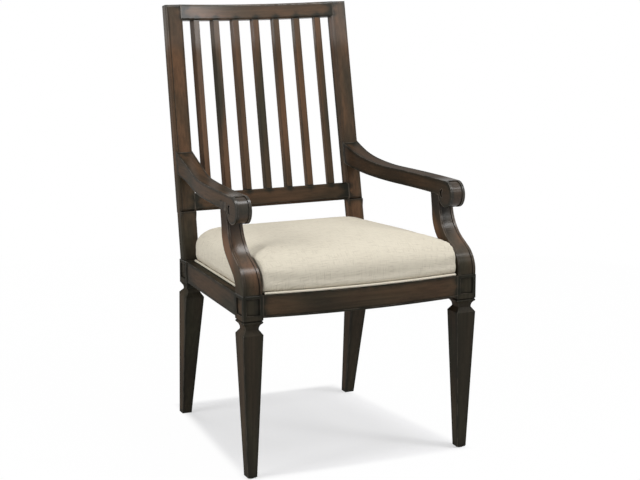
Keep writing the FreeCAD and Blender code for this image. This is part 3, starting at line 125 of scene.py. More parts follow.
class WeltSizes(bpy.types.PropertyGroup):
    radius: length_of("Piping radius", 0.0028, "Radius of the piping")
    lift: length_of("Piping height", 0.0031, "Rail top to the middle of the piping")
    ruck: length_of("Ruck pitch", 0.0095, "Distance between the small rucks of the bias strip")


class DustCoverSizes(bpy.types.PropertyGroup):
    front_width: length_of("Front width", 0.523, "Width of the cloth at its front edge")
    rear_width: length_of("Rear width", 0.445, "Width of the cloth at its rear edge")
    depth: length_of("Depth", 0.4198, "Front edge to rear edge")
    front: length_of("Front edge", 0.0486, "Leg face to the front edge of the cloth")
    thickness: length_of("Thickness", 0.0005, "Thickness of the cloth")
    sag: length_of("Sag", 0.003, "How far the cloth sags in the middle")


class SettingSizes(bpy.types.PropertyGroup):
    eye: FloatVectorProperty(name="Camera place", description="Where the camera stands", size=3,
                             default=(-1.57602, -3.51827, 1.21431), unit="LENGTH")
    yaw: angle_of("Camera yaw", 24.6438, "Turn to the right of straight ahead")
    pitch: angle_of("Camera pitch", 10.9010, "How far the camera looks down")
    roll: angle_of("Camera roll", 0.0348, "Turn about the line of sight")
    lens: amount_of("Lens", 91.0, "Focal length in millimetres on a 36 mm sensor", 10, 300)
    ambient: amount_of("Ambient", 0.36, "Strength of the light from all round", 0, 2)
    floor: amount_of("Floor lift", 0.515, "Glow that brings the lit floor up to white", 0, 1)


GROUPS = {"chair_wood": WoodSizes, "chair_linen": LinenSizes, "chair_welt": WeltSizes,
          "chair_dust_cover": DustCoverSizes, "chair_setting": SettingSizes}


# Node trees
def fill(tree, sockets, inputs):
    """Each named socket gets a value, or a link from the output that feeds it."""
    for name, value in inputs.items():
        if isinstance(value, bpy.types.NodeSocket):
            tree.links.new(value, sockets[name])
        else:
            sockets[name].default_value = value


def add(tree, kind, inputs=None, **settings):
    """New node; each input is a value or the output that feeds it."""
    made = tree.nodes.new("ShaderNode" + kind)
    for name, value in settings.items():
        setattr(made, name, value)
    fill(tree, made.inputs, inputs or {})
    return made


def calc(tree, operation, *values, clamp=False):
    return add(tree, "Math", dict(enumerate(values)), operation=operation, use_clamp=clamp).outputs[0]


def times(tree, first, second, clamp=False):
    return calc(tree, "MULTIPLY", first, second, clamp=clamp)


def blend(tree, factor, first, second):
    return add(tree, "Mix", {0: factor, 6: first, 7: second}, data_type="RGBA").outputs[2]


def span(tree, value, low, high, start=0.0, end=1.0):
    """Value spread from low..high to start..end, with soft ends."""
    return add(tree, "MapRange", {0: value, 1: low, 2: high, 3: start, 4: end},
               interpolation_type="SMOOTHSTEP").outputs[0]


def noise(tree, vector, scale, detail=3.0, roughness=0.55):
    return add(tree, "TexNoise", {"Vector": vector, "Scale": scale, "Detail": detail,
                                  "Roughness": roughness}).outputs[0]


def object_place(tree):
    return add(tree, "TexCoord").outputs["Object"]


def parts_of(tree, vector):
    return add(tree, "SeparateXYZ", {0: vector}).outputs


def stretched(tree, vector, x, y, z):
    """Place divided by a length on each axis."""
    sizes = add(tree, "CombineXYZ", {0: x, 1: y, 2: z}).outputs[0]
    return add(tree, "VectorMath", {0: vector, 1: sizes}, operation="DIVIDE").outputs[0]


def new_group(name, inputs, outputs):
    """Empty node group with named sockets, and its input and output nodes."""
    tree = bpy.data.node_groups.new(name, "ShaderNodeTree")
    for label, kind, value in inputs:
        socket = tree.interface.new_socket(label, in_out="INPUT", socket_type=kind)
        if value is not None:
            socket.default_value = value
    for label, kind in outputs:
        tree.interface.new_socket(label, in_out="OUTPUT", socket_type=kind)
    return tree, tree.nodes.new("NodeGroupInput").outputs, tree.nodes.new("NodeGroupOutput").inputs


def grouped(tree, name, builder, inputs):
    """The named group placed in a tree, built when it is first asked for."""
    group = bpy.data.node_groups.get(name) or builder(name)
    placed = tree.nodes.new("ShaderNodeGroup")
    placed.node_tree = group
    fill(tree, placed.inputs, inputs)
    return placed.outputs


def board_figure(name):
    """Grain of a board along its own z: long streaks, fine pores, growth bands and broad clouds."""
    tree, given, out = new_group(name, [
        ("Place", "NodeSocketVector", None), ("Streak width", "NodeSocketFloat", 0.0075),
        ("Streak length", "NodeSocketFloat", 0.16), ("Pore width", "NodeSocketFloat", 0.0006),
        ("Cloud size", "NodeSocketFloat", 0.060),
    ], [(label, "NodeSocketFloat") for label in ("Streaks", "Pores", "Bands", "Clouds", "Drift")])
    place = given["Place"]
    wide, long = given["Streak width"], given["Streak length"]
    streaks = noise(tree, stretched(tree, place, wide, wide, long), 1.0, 4.0, 0.6)
    tree.links.new(span(tree, streaks, 0.36, 0.66), out["Streaks"])
    pore = given["Pore width"]
    pore_length = times(tree, pore, 22.0)
    pores = noise(tree, stretched(tree, place, pore, pore, pore_length), 1.0, 1.0, 0.4)
    tree.links.new(span(tree, pores, 0.60, 0.72), out["Pores"])
    band = times(tree, wide, 5.0)
    band_place = stretched(tree, place, band, band, times(tree, long, 2.5))
    bands = add(tree, "TexWave", {"Vector": band_place, "Scale": 0.55, "Distortion": 3.2, "Detail": 2.0,
                                  "Detail Scale": 0.8}, wave_type="RINGS", rings_direction="Z")
    tree.links.new(bands.outputs["Fac"], out["Bands"])
    cloud = given["Cloud size"]
    cloud_place = stretched(tree, place, cloud, cloud, times(tree, cloud, 4.0))
    tree.links.new(span(tree, noise(tree, cloud_place, 1.0, 1.5, 0.4), 0.30, 0.66), out["Clouds"])
    apart = add(tree, "VectorMath", {0: cloud_place, 1: (7.3, 2.9, 5.1)}, operation="ADD").outputs[0]
    tree.links.new(span(tree, noise(tree, apart, 1.3, 1.0, 0.4), 0.40, 0.64), out["Drift"])
    return tree


def edge_wear(name):
    """How near a point is to an outward edge, in a wide and a narrow reach, and how deep in a hollow."""
    tree, given, out = new_group(name, [
        ("Edge reach", "NodeSocketFloat", 0.011), ("Arris reach", "NodeSocketFloat", 0.0016),
        ("Hollow reach", "NodeSocketFloat", 0.0045), ("Place", "NodeSocketVector", None),
    ], [(label, "NodeSocketFloat") for label in ("Edge", "Arris", "Hollow")])

    def closeness(reach, inside):
        seen = add(tree, "AmbientOcclusion", {"Distance": reach}, inside=inside, only_local=True,
                   samples=8)
        return calc(tree, "SUBTRACT", 1.0, seen.outputs["AO"])

    broken = calc(tree, "MULTIPLY_ADD", noise(tree, given["Place"], 60.0, 3.0), 0.3, -0.15)
    edge = calc(tree, "ADD", closeness(given["Edge reach"], True), broken)
    tree.links.new(span(tree, edge, 0.05, 0.55), out["Edge"])
    arris = closeness(given["Arris reach"], True)
    patches = span(tree, noise(tree, given["Place"], 22.0, 3.0, 0.6), 0.36, 0.64)
    tree.links.new(times(tree, span(tree, arris, 0.08, 0.42), patches), out["Arris"])
    tree.links.new(span(tree, closeness(given["Hollow reach"], False), 0.03, 0.45), out["Hollow"])
    return tree


def plain_weave(name):
    """Plain weave on cloth coordinates in metres: warp and weft yarns pass over each other in turn."""
    tree, given, out = new_group(name, [
        ("Cloth place", "NodeSocketVector", None), ("Yarn pitch", "NodeSocketFloat", 0.00115),
        ("Slub length", "NodeSocketFloat", 0.028),
    ], [(label, "NodeSocketFloat") for label in ("Height", "Yarn shade", "Slub", "Drift")])
    place, pitch, slub = given["Cloth place"], given["Yarn pitch"], given["Slub length"]
    parts = parts_of(tree, place)
    double = times(tree, pitch, 2.1)
    weft_slub = noise(tree, stretched(tree, place, slub, double, 1.0), 1.0, 2.0)
    warp_slub = noise(tree, stretched(tree, place, double, slub, 1.0), 1.0, 2.0)

    def yarns(along, waver):
        turns = calc(tree, "DIVIDE", along, pitch)
        return times(tree, calc(tree, "ADD", turns, times(tree, waver, 0.5)), math.pi)

    across, down = yarns(parts[0], weft_slub), yarns(parts[1], warp_slub)
    warp = calc(tree, "ABSOLUTE", calc(tree, "SINE", across))
    weft = calc(tree, "ABSOLUTE", calc(tree, "SINE", down))
    turn = times(tree, calc(tree, "COSINE", across), calc(tree, "COSINE", down))
    over = calc(tree, "MULTIPLY_ADD", turn, 0.5, 0.5)
    under = calc(tree, "SUBTRACT", 1.0, over)
    height = calc(tree, "MAXIMUM", times(tree, warp, over), times(tree, weft, under))
    tree.links.new(height, out["Height"])
    thick = calc(tree, "MAXIMUM", span(tree, weft_slub, 0.50, 0.74), span(tree, warp_slub, 0.54, 0.78))
    tree.links.new(thick, out["Slub"])
    thin = calc(tree, "MAXIMUM", span(tree, weft_slub, 0.48, 0.28), span(tree, warp_slub, 0.46, 0.26))
    tree.links.new(calc(tree, "MULTIPLY_ADD", thin, 0.75, times(tree, height, 0.2), clamp=True),
                   out["Yarn shade"])
    tree.links.new(noise(tree, place, 9.0, 2.0), out["Drift"])
    return tree


def empty_tree(owner):
    """The cleared node tree of a material or a world."""
    owner.use_nodes = True
    owner.node_tree.nodes.clear()
    return owner.node_tree


def new_material(name):
    made = bpy.data.materials.new(name)
    tree = empty_tree(made)
    shader = add(tree, "BsdfPrincipled")
    add(tree, "OutputMaterial", {"Surface": shader.outputs[0]})
    return made, tree, shader


def feed(tree, shader, **inputs):
    """Fills the shader's sockets; words in a name are joined by underscores."""
    fill(tree, shader.inputs, {name.replace("_", " ").title().replace("Ior", "IOR"): value
                               for name, value in inputs.items()})


def grain_place(tree, turn, shift):
    """Object coordinates turned so that the grain runs along z, and shifted along the board."""
    place = object_place(tree)
    return add(tree, "Mapping", {"Vector": place, "Location": shift, "Rotation": turn}).outputs[0]


def rgba(colour):
    return (*colour, 1.0)


def show_with(node, material):
    """The node's mesh gets one material."""
    mesh = NODES[node].data
    mesh.materials.clear()
    mesh.materials.append(material)


# Wood finish
UPRIGHT, ALONG_X, ALONG_Y = (0, 0, 0), (0, math.pi / 2, 0), (math.pi / 2, 0, 0)
RAKED = (BACK_RAKE, 0, 0)
SUPPORT_GRAIN = (math.radians(33), 0, 0)
SHOW_WOOD = (
    [(f"front_leg_{side}", UPRIGHT) for side in SIDES]
    + [(f"rear_post_{side}", UPRIGHT) for side in SIDES]
    + [(f"arm_{side}", ALONG_Y) for side in SIDES]
    + [(f"arm_support_{side}", SUPPORT_GRAIN) for side in SIDES]
    + [(f"back_slat_{number}", RAKED) for number in range(1, 8)]
    + [("side_seat_rail_left", (math.pi / 2, 0, -SIDE_TAPER)),
       ("side_seat_rail_right", (math.pi / 2, 0, SIDE_TAPER))]
    + [(rail, ALONG_X) for rail in ("top_rail", "lower_back_rail", "front_seat_rail", "rear_seat_rail")]
)


# How the finish of a piece differs: breadth = how far the edge glaze comes in, arris = width of the worn
# arris with its painted highlight, deeper = extra glaze over the body, rub = rub-through, the last =
# painted shade under the roll
Tone = namedtuple("Tone", "breadth arris deeper rub roll_shade", defaults=(1.0, 1.0, 0.0, 1.0, 0.0))
TONES = {  # by the start of a node's name
    "back_slat": Tone(breadth=0.35),
    "arm_support": Tone(breadth=0.35, arris=1.5, rub=1.5, roll_shade=0.8),
    "arm_right": Tone(arris=1.5, deeper=0.60, rub=0.28),
    "arm_left": Tone(breadth=0.8, arris=1.5, deeper=0.38, rub=0.55),
    "lower_back": Tone(deeper=0.25, rub=0.6),
    "front_seat": Tone(rub=5.0),
}
BOARD_STEP = (0.371, 0.217, 0.593)  # from one piece's place in the board to the next one's

# Heights from the floor, and one depth from the middle, over which the finish changes
LEG_TO_ARM = (0.41, 0.53)
# Around the tops of the leg blocks the painted side light below the seat fades out
BLOCK_TOP = (0.415, 0.43)
GRIP_HEIGHT, GRIP_DEPTH = (0.44, 0.50), (-0.17, -0.23)
# Height band of the painted shade below the roll
PAINTED_SHADE_BELOW_ROLL = (0.515, 0.575)
TOP_RAIL = (0.90, 0.95)


def espresso_colour(tree, tone, figure, wear, upper, grip, level, facing):
    """Stain, glaze in streaks, pores and hollows, rub-through, dark edges, worn arrises; painted shade,
    side light and highlights.
    """
    sizes = bpy.context.scene.chair_wood
    glaze, streaks = rgba(sizes.glaze), figure["Streaks"]
    colour = blend(tree, upper, rgba(sizes.low_body), rgba(sizes.body))
    colour = blend(tree, times(tree, figure["Drift"], 0.7), colour, rgba(sizes.olive))
    colour = blend(tree, tone.deeper, colour, glaze)
    colour = blend(tree, times(tree, streaks, 0.30), colour, glaze)
    colour = blend(tree, times(tree, figure["Bands"], 0.14), colour, glaze)
    open_wood = times(tree, figure["Clouds"], calc(tree, "SUBTRACT", 1.0, wear["Edge"]))
    rubbed = times(tree, open_wood, calc(tree, "MULTIPLY_ADD", streaks, -0.30, 0.85), clamp=True)
    rubbed = times(tree, rubbed, span(tree, upper, 0.0, 1.0, sizes.low_rub, 0.9))
    # Painted light below the seat: the fronts keep more of the stain than the sides, so the sides stand
    # lighter as if lit
    painted_side_light = span(tree, calc(tree, "ABSOLUTE", facing[1]), 0.4, 0.8, 1.8, 0.4)
    shown = add(tree, "Mix", {0: span(tree, level, *BLOCK_TOP), 2: painted_side_light, 3: 1.15}).outputs[0]
    rubbed = times(tree, times(tree, rubbed, shown), tone.rub, clamp=True)
    colour = blend(tree, rubbed, colour, rgba(sizes.rub))
    colour = blend(tree, times(tree, wear["Edge"], 0.80), colour, rgba(sizes.haze))
    colour = blend(tree, times(tree, figure["Pores"], 0.30), colour, glaze)
    # Dark glaze settled in the hollows, and painted shade there too
    colour = blend(tree, times(tree, wear["Hollow"], 0.85), colour, glaze)
    # Painted shade on the arm supports just below the roll
    shade = times(tree, span(tree, level, *PAINTED_SHADE_BELOW_ROLL), tone.roll_shade)
    colour = blend(tree, shade, colour, glaze)
    # Worn arrises lighter, with a painted highlight on them that is stronger on the rolls and arm supports
    worn = times(tree, wear["Arris"], calc(tree, "MULTIPLY_ADD", grip, 0.40, 0.35))
    return blend(tree, worn, colour, rgba(sizes.arris))


def espresso_finish(name, turn, shift, tone):
    """Dark espresso stain, glaze toward the edges, rubbed-through patches and a satin lacquer.

    The glaze comes in less far on a narrow piece: its reach is a share of that on a broad one.
    """
    sizes = bpy.context.scene.chair_wood
    material, tree, shader = new_material(name)
    place = grain_place(tree, turn, shift)
    figure = grouped(tree, "board figure", board_figure, {
        "Place": place, "Streak width": sizes.streak_width, "Streak length": sizes.streak_length})
    wear = grouped(tree, "edge wear", edge_wear, {
        "Place": place, "Edge reach": sizes.edge_reach * tone.breadth,
        "Arris reach": sizes.arris_reach * tone.arris})
    parts = parts_of(tree, object_place(tree))
    depth, level = parts[1], parts[2]
    facing = parts_of(tree, add(tree, "TexCoord").outputs["Normal"])
    upper = span(tree, level, *LEG_TO_ARM)
    # Hands polish the film and wear the edges on the rolls and the arm supports; the painted highlight on
    # the edges is stronger there too
    grip = times(tree, span(tree, level, *GRIP_HEIGHT), span(tree, depth, *GRIP_DEPTH))
    colour = espresso_colour(tree, tone, figure, wear, upper, grip, level, facing)
    gloss = calc(tree, "MULTIPLY_ADD", figure["Clouds"], -0.06, 0.42)
    gloss = calc(tree, "MULTIPLY_ADD", figure["Pores"], 0.18, gloss)
    gloss = calc(tree, "MULTIPLY_ADD", wear["Hollow"], 0.2, gloss, clamp=True)
    waver = noise(tree, place, 26.0, 2.0)
    height = calc(tree, "MULTIPLY_ADD", figure["Pores"], -0.25, times(tree, figure["Streaks"], 0.12))
    height = calc(tree, "MULTIPLY_ADD", waver, 0.9, height)
    eased = add(tree, "Bevel", {"Radius": sizes.ease}, samples=6).outputs[0]
    bump = add(tree, "Bump", {"Strength": 0.5, "Distance": 0.0005, "Height": height, "Normal": eased})
    sideways = span(tree, calc(tree, "ABSOLUTE", facing[0]), 0.5, 0.85, 1.0, 0.15)
    handled = calc(tree, "MAXIMUM", times(tree, grip, sideways), span(tree, level, *TOP_RAIL))
    film = calc(tree, "MULTIPLY_ADD", handled, 0.40, calc(tree, "MULTIPLY_ADD", upper, 0.05, 0.09))
    film = calc(tree, "MULTIPLY_ADD", figure["Pores"], -0.05, film)
    film = calc(tree, "MULTIPLY_ADD", wear["Hollow"], -0.12, film, clamp=True)
    feed(tree, shader, base_color=colour, roughness=gloss, normal=bump.outputs[0], coat_weight=film,
         specular_ior_level=0.0, coat_roughness=0.26)
    return material


class CHAIR_OT_show_wood(bpy.types.Operator):
    """Gives the legs, posts, rails, slats, arms and arm supports their stained and rubbed finish"""
    bl_idname = "chair.show_wood"
    bl_label = "Finish the show wood"

    def execute(self, context):
        for number, (node, turn) in enumerate(SHOW_WOOD):
            shift = [step * number for step in BOARD_STEP]
            tone = next((TONES[start] for start in TONES if node.startswith(start)), Tone())
            show_with(node, espresso_finish(node + "_finish", turn, shift, tone))
        return {"FINISHED"}


# Hidden woods, screws and glides
MM_IN_METRE = 1000.0
PLY_MM = 1.3
STREAK_RATIO = 18  # length of a streak over its width
PLAIN_WOODS = {  # light colour, dark colour, width of a streak
    "block wood": ((0.47, 0.33, 0.19), (0.36, 0.235, 0.125), 0.0045),
    "beech dowel": ((0.62, 0.44, 0.27), (0.52, 0.34, 0.19), 0.0016),
    "plywood": ((0.60, 0.45, 0.28), (0.43, 0.29, 0.16), 0.006),
}


def plain_wood(name, turn, shift):
    """Bare wood: pale streaks, dark pores, open and dull."""
    light, dark, streak = PLAIN_WOODS[name]
    material, tree, shader = new_material(name)
    place = grain_place(tree, turn, shift)
    figure = grouped(tree, "board figure", board_figure, {
        "Place": place, "Streak width": streak, "Streak length": streak * STREAK_RATIO,
        "Pore width": 0.0005})
    colour = blend(tree, figure["Streaks"], rgba(light), rgba(dark))
    colour = blend(tree, times(tree, figure["Pores"], 0.5), colour, rgba(dark))
    if name == "plywood":
        colour = blend(tree, ply_edges(tree), colour, rgba(tuple(part * 0.45 for part in dark)))
    rough = calc(tree, "MULTIPLY_ADD", figure["Streaks"], 0.12, 0.62)
    bump = add(tree, "Bump", {"Strength": 0.5, "Distance": 0.0003, "Height": figure["Pores"]},
               invert=True)
    feed(tree, shader, base_color=colour, roughness=rough, normal=bump.outputs[0])
    return material


def ply_edges(tree):
    """Glue lines and cross plies in the board's thickness, drawn only on its upright edges."""
    place = add(tree, "TexCoord").outputs
    turned = add(tree, "Mapping", {"Vector": place["Object"], "Rotation": (SEAT_FALL, 0, 0)}).outputs[0]
    up = parts_of(tree, turned)[2]
    layers = calc(tree, "PINGPONG", times(tree, up, MM_IN_METRE), PLY_MM)
    facing = calc(tree, "ABSOLUTE", parts_of(tree, place["Normal"])[2])
    return times(tree, span(tree, layers, 0.45, 0.75), span(tree, facing, 0.6, 0.3))


def screw_steel():
    """Zinc-plated steel with fine turning marks and dull patches."""
    material, tree, shader = new_material("screw steel")
    place = object_place(tree)
    patches = noise(tree, place, 300.0, 3.0)
    marks = noise(tree, stretched(tree, place, 0.002, 0.002, 0.00015), 1.0, 2.0)
    colour = blend(tree, patches, (0.56, 0.55, 0.52, 1), (0.40, 0.38, 0.34, 1))
    rough = calc(tree, "MULTIPLY_ADD", patches, 0.2, 0.28)
    bump = add(tree, "Bump", {"Strength": 0.4, "Distance": 0.00008, "Height": marks})
    feed(tree, shader, base_color=colour, roughness=rough, normal=bump.outputs[0], metallic=1.0)
    return material


def glide_nylon():
    """Dark brown moulded nylon, scuffed grey by the floor."""
    material, tree, shader = new_material("glide nylon")
    place = object_place(tree)
    grain, scuffs = noise(tree, place, 2600.0, 2.0), noise(tree, place, 420.0, 4.0, 0.7)
    worn = span(tree, scuffs, 0.48, 0.7)
    colour = blend(tree, times(tree, worn, 0.6), (0.035, 0.027, 0.022, 1), (0.13, 0.12, 0.11, 1))
    rough = calc(tree, "MULTIPLY_ADD", worn, 0.2, 0.5)
    bump = add(tree, "Bump", {"Strength": 0.35, "Distance": 0.0001, "Height": grain})
    feed(tree, shader, base_color=colour, roughness=rough, normal=bump.outputs[0])
    return material


class CHAIR_OT_hidden_parts(bpy.types.Operator):
    """Gives the seat board, corner blocks, dowels, screws and glides their materials"""
    bl_idname = "chair.hidden_parts"
    bl_label = "Finish the hidden parts"

    def execute(self, context):
        blocks = plain_wood("block wood", ALONG_X, (0, 0, 0))
        for end in ("front", "rear"):
            for side in SIDES:
                show_with(f"corner_block_{end}_{side}", blocks)
        dowels = plain_wood("beech dowel", ALONG_X, (0.3, 0, 0))
        for node in ("arm_dowels", "back_rail_dowels", "seat_rail_dowels"):
            show_with(node, dowels)
        show_with("seat_board", plain_wood("plywood", ALONG_Y, (0, 0.2, 0)))
        steel = screw_steel()
        for node in ("seat_screws", "corner_block_screws"):
            show_with(node, steel)
        show_with("leg_glides", glide_nylon())
        return {"FINISHED"}


# Upholstery
def linen(name, light, dark, bias=0.0):
    """Slubby plain-woven linen on the piece's own cloth coordinates, with a soft fuzz."""
    sizes = bpy.context.scene.chair_linen
    material, tree, shader = new_material(name)
    cloth = add(tree, "UVMap", uv_map="Weave").outputs[0]
    cloth = add(tree, "Mapping", {"Vector": cloth, "Rotation": (0, 0, bias)}).outputs[0]
    weave = grouped(tree, "plain weave", plain_weave, {
        "Cloth place": cloth, "Yarn pitch": sizes.yarn, "Slub length": sizes.slub})
    yarns = times(tree, weave["Yarn shade"], 0.8)
    shade = calc(tree, "MULTIPLY_ADD", weave["Drift"], 0.35, yarns)
    colour = blend(tree, calc(tree, "SUBTRACT", shade, 0.12, clamp=True), rgba(light), rgba(dark))
    colour = blend(tree, times(tree, weave["Slub"], 0.35), colour,
                   rgba(tuple(min(1.0, part * 1.10) for part in light)))
    height = calc(tree, "MULTIPLY_ADD", weave["Slub"], 0.6, weave["Height"])
    bump = add(tree, "Bump", {"Strength": 0.55, "Distance": 0.0004, "Height": height})
    rough = calc(tree, "MULTIPLY_ADD", weave["Height"], -0.08, 0.92)
    feed(tree, shader, base_color=colour, roughness=rough, normal=bump.outputs[0],
         specular_ior_level=0.25, sheen_weight=0.18, sheen_roughness=0.5, sheen_tint=rgba(light))
    return material


def shade_smooth(mesh):
    mesh.polygons.foreach_set("use_smooth", np.ones(len(mesh.polygons), bool))


def give_cloth(mesh, cloth):
    """Writes cloth coordinates, one pair to a point, into the mesh's Weave map."""
    corners = np.empty(len(mesh.loops), np.int32)
    mesh.loops.foreach_get("vertex_index", corners)
    layer = mesh.uv_layers.new(name="Weave")
    layer.data.foreach_set("uv", np.asarray(cloth, np.float32)[corners].ravel())


def piece(name, points, faces, material, cloth):
    """New smooth object at the origin from arrays of points, faces and cloth coordinates."""
    mesh = bpy.data.meshes.new(name)
    mesh.from_pydata(points.tolist(), [], faces.tolist())
    shade_smooth(mesh)
    give_cloth(mesh, cloth)
    mesh.materials.append(material)
    made = bpy.data.objects.new(name, mesh)
    bpy.context.scene.collection.objects.link(made)
    return made


def seat_to_chair(points):
    turn = np.array(SEAT.to_3x3())
    return points @ turn.T + np.array(SEAT.translation)


def chair_to_seat(points):
    turn = np.array(SEAT.to_3x3())
    return (points - np.array(SEAT.translation)) @ turn


def grid_faces(rows, columns, closed=False):
    """Quads of a grid of points stored row by row; when closed, the last column joins the first."""
    row = np.arange(rows - 1)[:, None]
    column = np.arange(columns if closed else columns - 1)[None, :]
    next_row, next_column = row + 1, (column + 1) % columns
    corners = (row * columns + column, row * columns + next_column,
               next_row * columns + next_column, next_row * columns + column)
    return np.stack(corners, axis=-1).reshape(-1, 4)


def vertex_rows(mesh, attribute):
    rows = np.empty(len(mesh.vertices) * 3, np.float32)
    mesh.vertices.foreach_get(attribute, rows)
    return rows.reshape(-1, 3).astype(float)


def mesh_points(mesh):
    return vertex_rows(mesh, "co")


def mesh_normals(mesh):
    return vertex_rows(mesh, "normal")


def set_points(mesh, points):
    mesh.vertices.foreach_set("co", np.asarray(points, np.float32).ravel())
    mesh.update()


def merged_copy(node):
    """Copy of a CAD node's mesh with its doubles merged."""
    made = bmesh.new()
    made.from_mesh(NODES[node].data)
    bmesh.ops.remove_doubles(made, verts=made.verts, dist=2e-5)
    mesh = bpy.data.meshes.new(node + "_copy")
    made.to_mesh(mesh)
    made.free()
    return mesh


def apply_modifiers(made):
    """The object's modifiers are worked into its own mesh."""
    graph = bpy.context.evaluated_depsgraph_get()
    mesh = bpy.data.meshes.new_from_object(made.evaluated_get(graph))
    old = made.data
    made.modifiers.clear()
    made.data = mesh
    bpy.data.meshes.remove(old)


def tree_of(mesh):
    mesh.calc_loop_triangles()
    corners = np.empty(len(mesh.loop_triangles) * 3, np.int32)
    mesh.loop_triangles.foreach_get("vertices", corners)
    return BVHTree.FromPolygons(mesh_points(mesh).tolist(), corners.reshape(-1, 3).tolist(),
                                all_triangles=True)


def held_in(points, tree, proud):
    """Points kept within a space: one that stands too far out comes back along the surface's normal."""
    kept = points.copy()
    for index, point in enumerate(points):
        near, normal, _, _ = tree.find_nearest(Vector(point))
        out = (Vector(point) - near).dot(normal)
        if out > proud[index]:
            kept[index] = point - np.array(normal) * (out - proud[index])
    return kept


def swell(made, sizes):
    """Cloth under pressure: the pad's cover, pinned along its foot, filled until it is tight."""
    local = chair_to_seat(mesh_points(made.data))
    foot, ramp, last_frame = 0.014, 0.01, 20
    group = made.vertex_groups.new(name="foot")
    pinned = np.flatnonzero(local[:, 2] < foot)
    group.add(pinned.tolist(), 1.0, "REPLACE")
    free = np.clip((local[:, 2] - foot) / ramp, 0, 1)[:, None]
    start = mesh_points(made.data) - mesh_normals(made.data) * sizes.ease * free
    set_points(made.data, start)
    cloth = made.modifiers.new("cloth", "CLOTH")
    settings = cloth.settings
    settings.quality = 4
    settings.mass = 0.35
    settings.tension_stiffness = settings.compression_stiffness = 22
    settings.shear_stiffness = 8
    settings.bending_stiffness = 1.2
    settings.vertex_group_mass = "foot"
    settings.use_pressure = True
    settings.uniform_pressure_force = sizes.pressure
    settings.effector_weights.gravity = 0
    cloth.collision_settings.use_collision = False
    scene = bpy.context.scene
    cloth.point_cache.frame_start, cloth.point_cache.frame_end = 1, last_frame
    for number in range(1, last_frame + 1):
        scene.frame_set(number)
        graph = bpy.context.evaluated_depsgraph_get()
        made.evaluated_get(graph).to_mesh()
    settled = mesh_points(made.evaluated_get(bpy.context.evaluated_depsgraph_get()).data)
    made.modifiers.clear()
    made.vertex_groups.clear()
    scene.frame_set(1)
    step = settled - start
    far = np.linalg.norm(step, axis=1, keepdims=True)
    step *= np.minimum(1, sizes.cap / np.maximum(far, 1e-9))
    set_points(made.data, start + step)


def pucker(points, normals, local, depth):
    """Shallow creases that fan out from the inner corner of each arm support and die away with distance.

    Depth times a cosine of the angle about that corner, times a fall-off with distance; and a slow slack
    over the crown, a product of sines of the place across and the place along.
    """
    moved = np.zeros(len(points))
    corner_across, corner_along, corner_up = 0.243, 0.035, 0.055
    for side, phase in ((-1, 0.4), (1, 1.3)):
        away = local - np.array([side * corner_across, corner_along, corner_up])
        far = np.linalg.norm(away, axis=1)
        inward = np.sign(-side * away[:, 0] + 1e-9)
        angle = np.arctan2(away[:, 2], np.hypot(away[:, 0], away[:, 1]) * inward)
        fade = np.exp(-((far - 0.05) / 0.045) ** 2)
        moved += depth * np.cos(9 * angle + phase + 14 * far) * fade
    slack = np.sin(local[:, 0] * 31 + 0.6) * np.sin(local[:, 1] * 27 + 1.1) * 0.45
    moved += depth * slack * np.clip((local[:, 2] - 0.03) / 0.03, 0, 1)
    return points + normals * moved[:, None]


def seat_side(depth):
    """Half the width of the cushion's space at a depth in the seat's plane."""
    return SEAT_HALF_WIDTH - (depth - SEAT_WIDE_AT) * math.tan(SIDE_TAPER)


def hemmed(points):
    """The cover's foot drawn down to the side rails: its low points come down beside the piping."""
    start, end, reach, top, drop, lowest = 0.05, 0.47, 0.0115, 0.0135, 0.009, 0.003
    local = chair_to_seat(points)
    from_side = seat_side(local[:, 1]) - np.abs(local[:, 0])
    low = (local[:, 1] > start) & (local[:, 1] < end) & (from_side < reach) & (local[:, 2] < top)
    local[low, 2] = np.maximum(local[low, 2] - drop, lowest)
    return seat_to_chair(local)


def cloth_place(local, normals):
    """Cloth coordinates of a cover drawn over a pad; the yarns run on from the top down each side.

    Plan place plus a share of the drop below the crown, along the outward direction.
    """
    flat = normals[:, :2] / np.maximum(np.linalg.norm(normals[:, :2], axis=1, keepdims=True), 0.2)
    drop = np.clip(CROWN - local[:, 2], 0, None)[:, None]
    return local[:, :2] + flat * drop * 0.8


class CHAIR_OT_seat_pad(bpy.types.Operator):
    """Makes the linen seat pad by swelling a cover inside the pad's space"""
    bl_idname = "chair.seat_pad"
    bl_label = "Make the seat pad"

    def execute(self, context):
        sizes = context.scene.chair_linen
        space = merged_copy("seat_cushion")
        pad = bpy.data.objects.new("seat_pad", space.copy())
        context.scene.collection.objects.link(pad)
        remesh = pad.modifiers.new("even faces", "REMESH")
        remesh.mode = "VOXEL"
        remesh.voxel_size = sizes.voxel
        apply_modifiers(pad)
        swell(pad, sizes)
        mesh = pad.data
        local = chair_to_seat(mesh_points(mesh))
        points = hemmed(pucker(mesh_points(mesh), mesh_normals(mesh), local, sizes.pucker))
        set_points(mesh, held_in(points, tree_of(space), self.allowance(local, sizes.proud)))
        normals = mesh_normals(mesh) @ np.array(SEAT.to_3x3())
        give_cloth(mesh, cloth_place(chair_to_seat(mesh_points(mesh)), normals))
        shade_smooth(mesh)
        mesh.materials.clear()
        mesh.materials.append(linen("seat linen", sizes.light_yarn, sizes.dark_yarn))
        smooth = pad.modifiers.new("smooth", "SUBSURF")
        smooth.levels = smooth.render_levels = 1
        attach(pad, "root")
        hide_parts("seat_cushion")
        return {"FINISHED"}

    @staticmethod
    def allowance(local, proud):
        """How far each point may stand out of its space: not at the foot, the supports or the rear."""
        foot, ramp, inside, well_inside = 0.012, 0.02, 0.0002, 0.0004
        allowed = np.clip((local[:, 2] - foot) / ramp, 0, 1) * (proud + inside) - inside
        by_support = np.hypot(np.abs(local[:, 0]) - 0.262, local[:, 1] - 0.03) < 0.075
        allowed[by_support | (local[:, 1] > 0.46)] = -well_inside
        return allowed


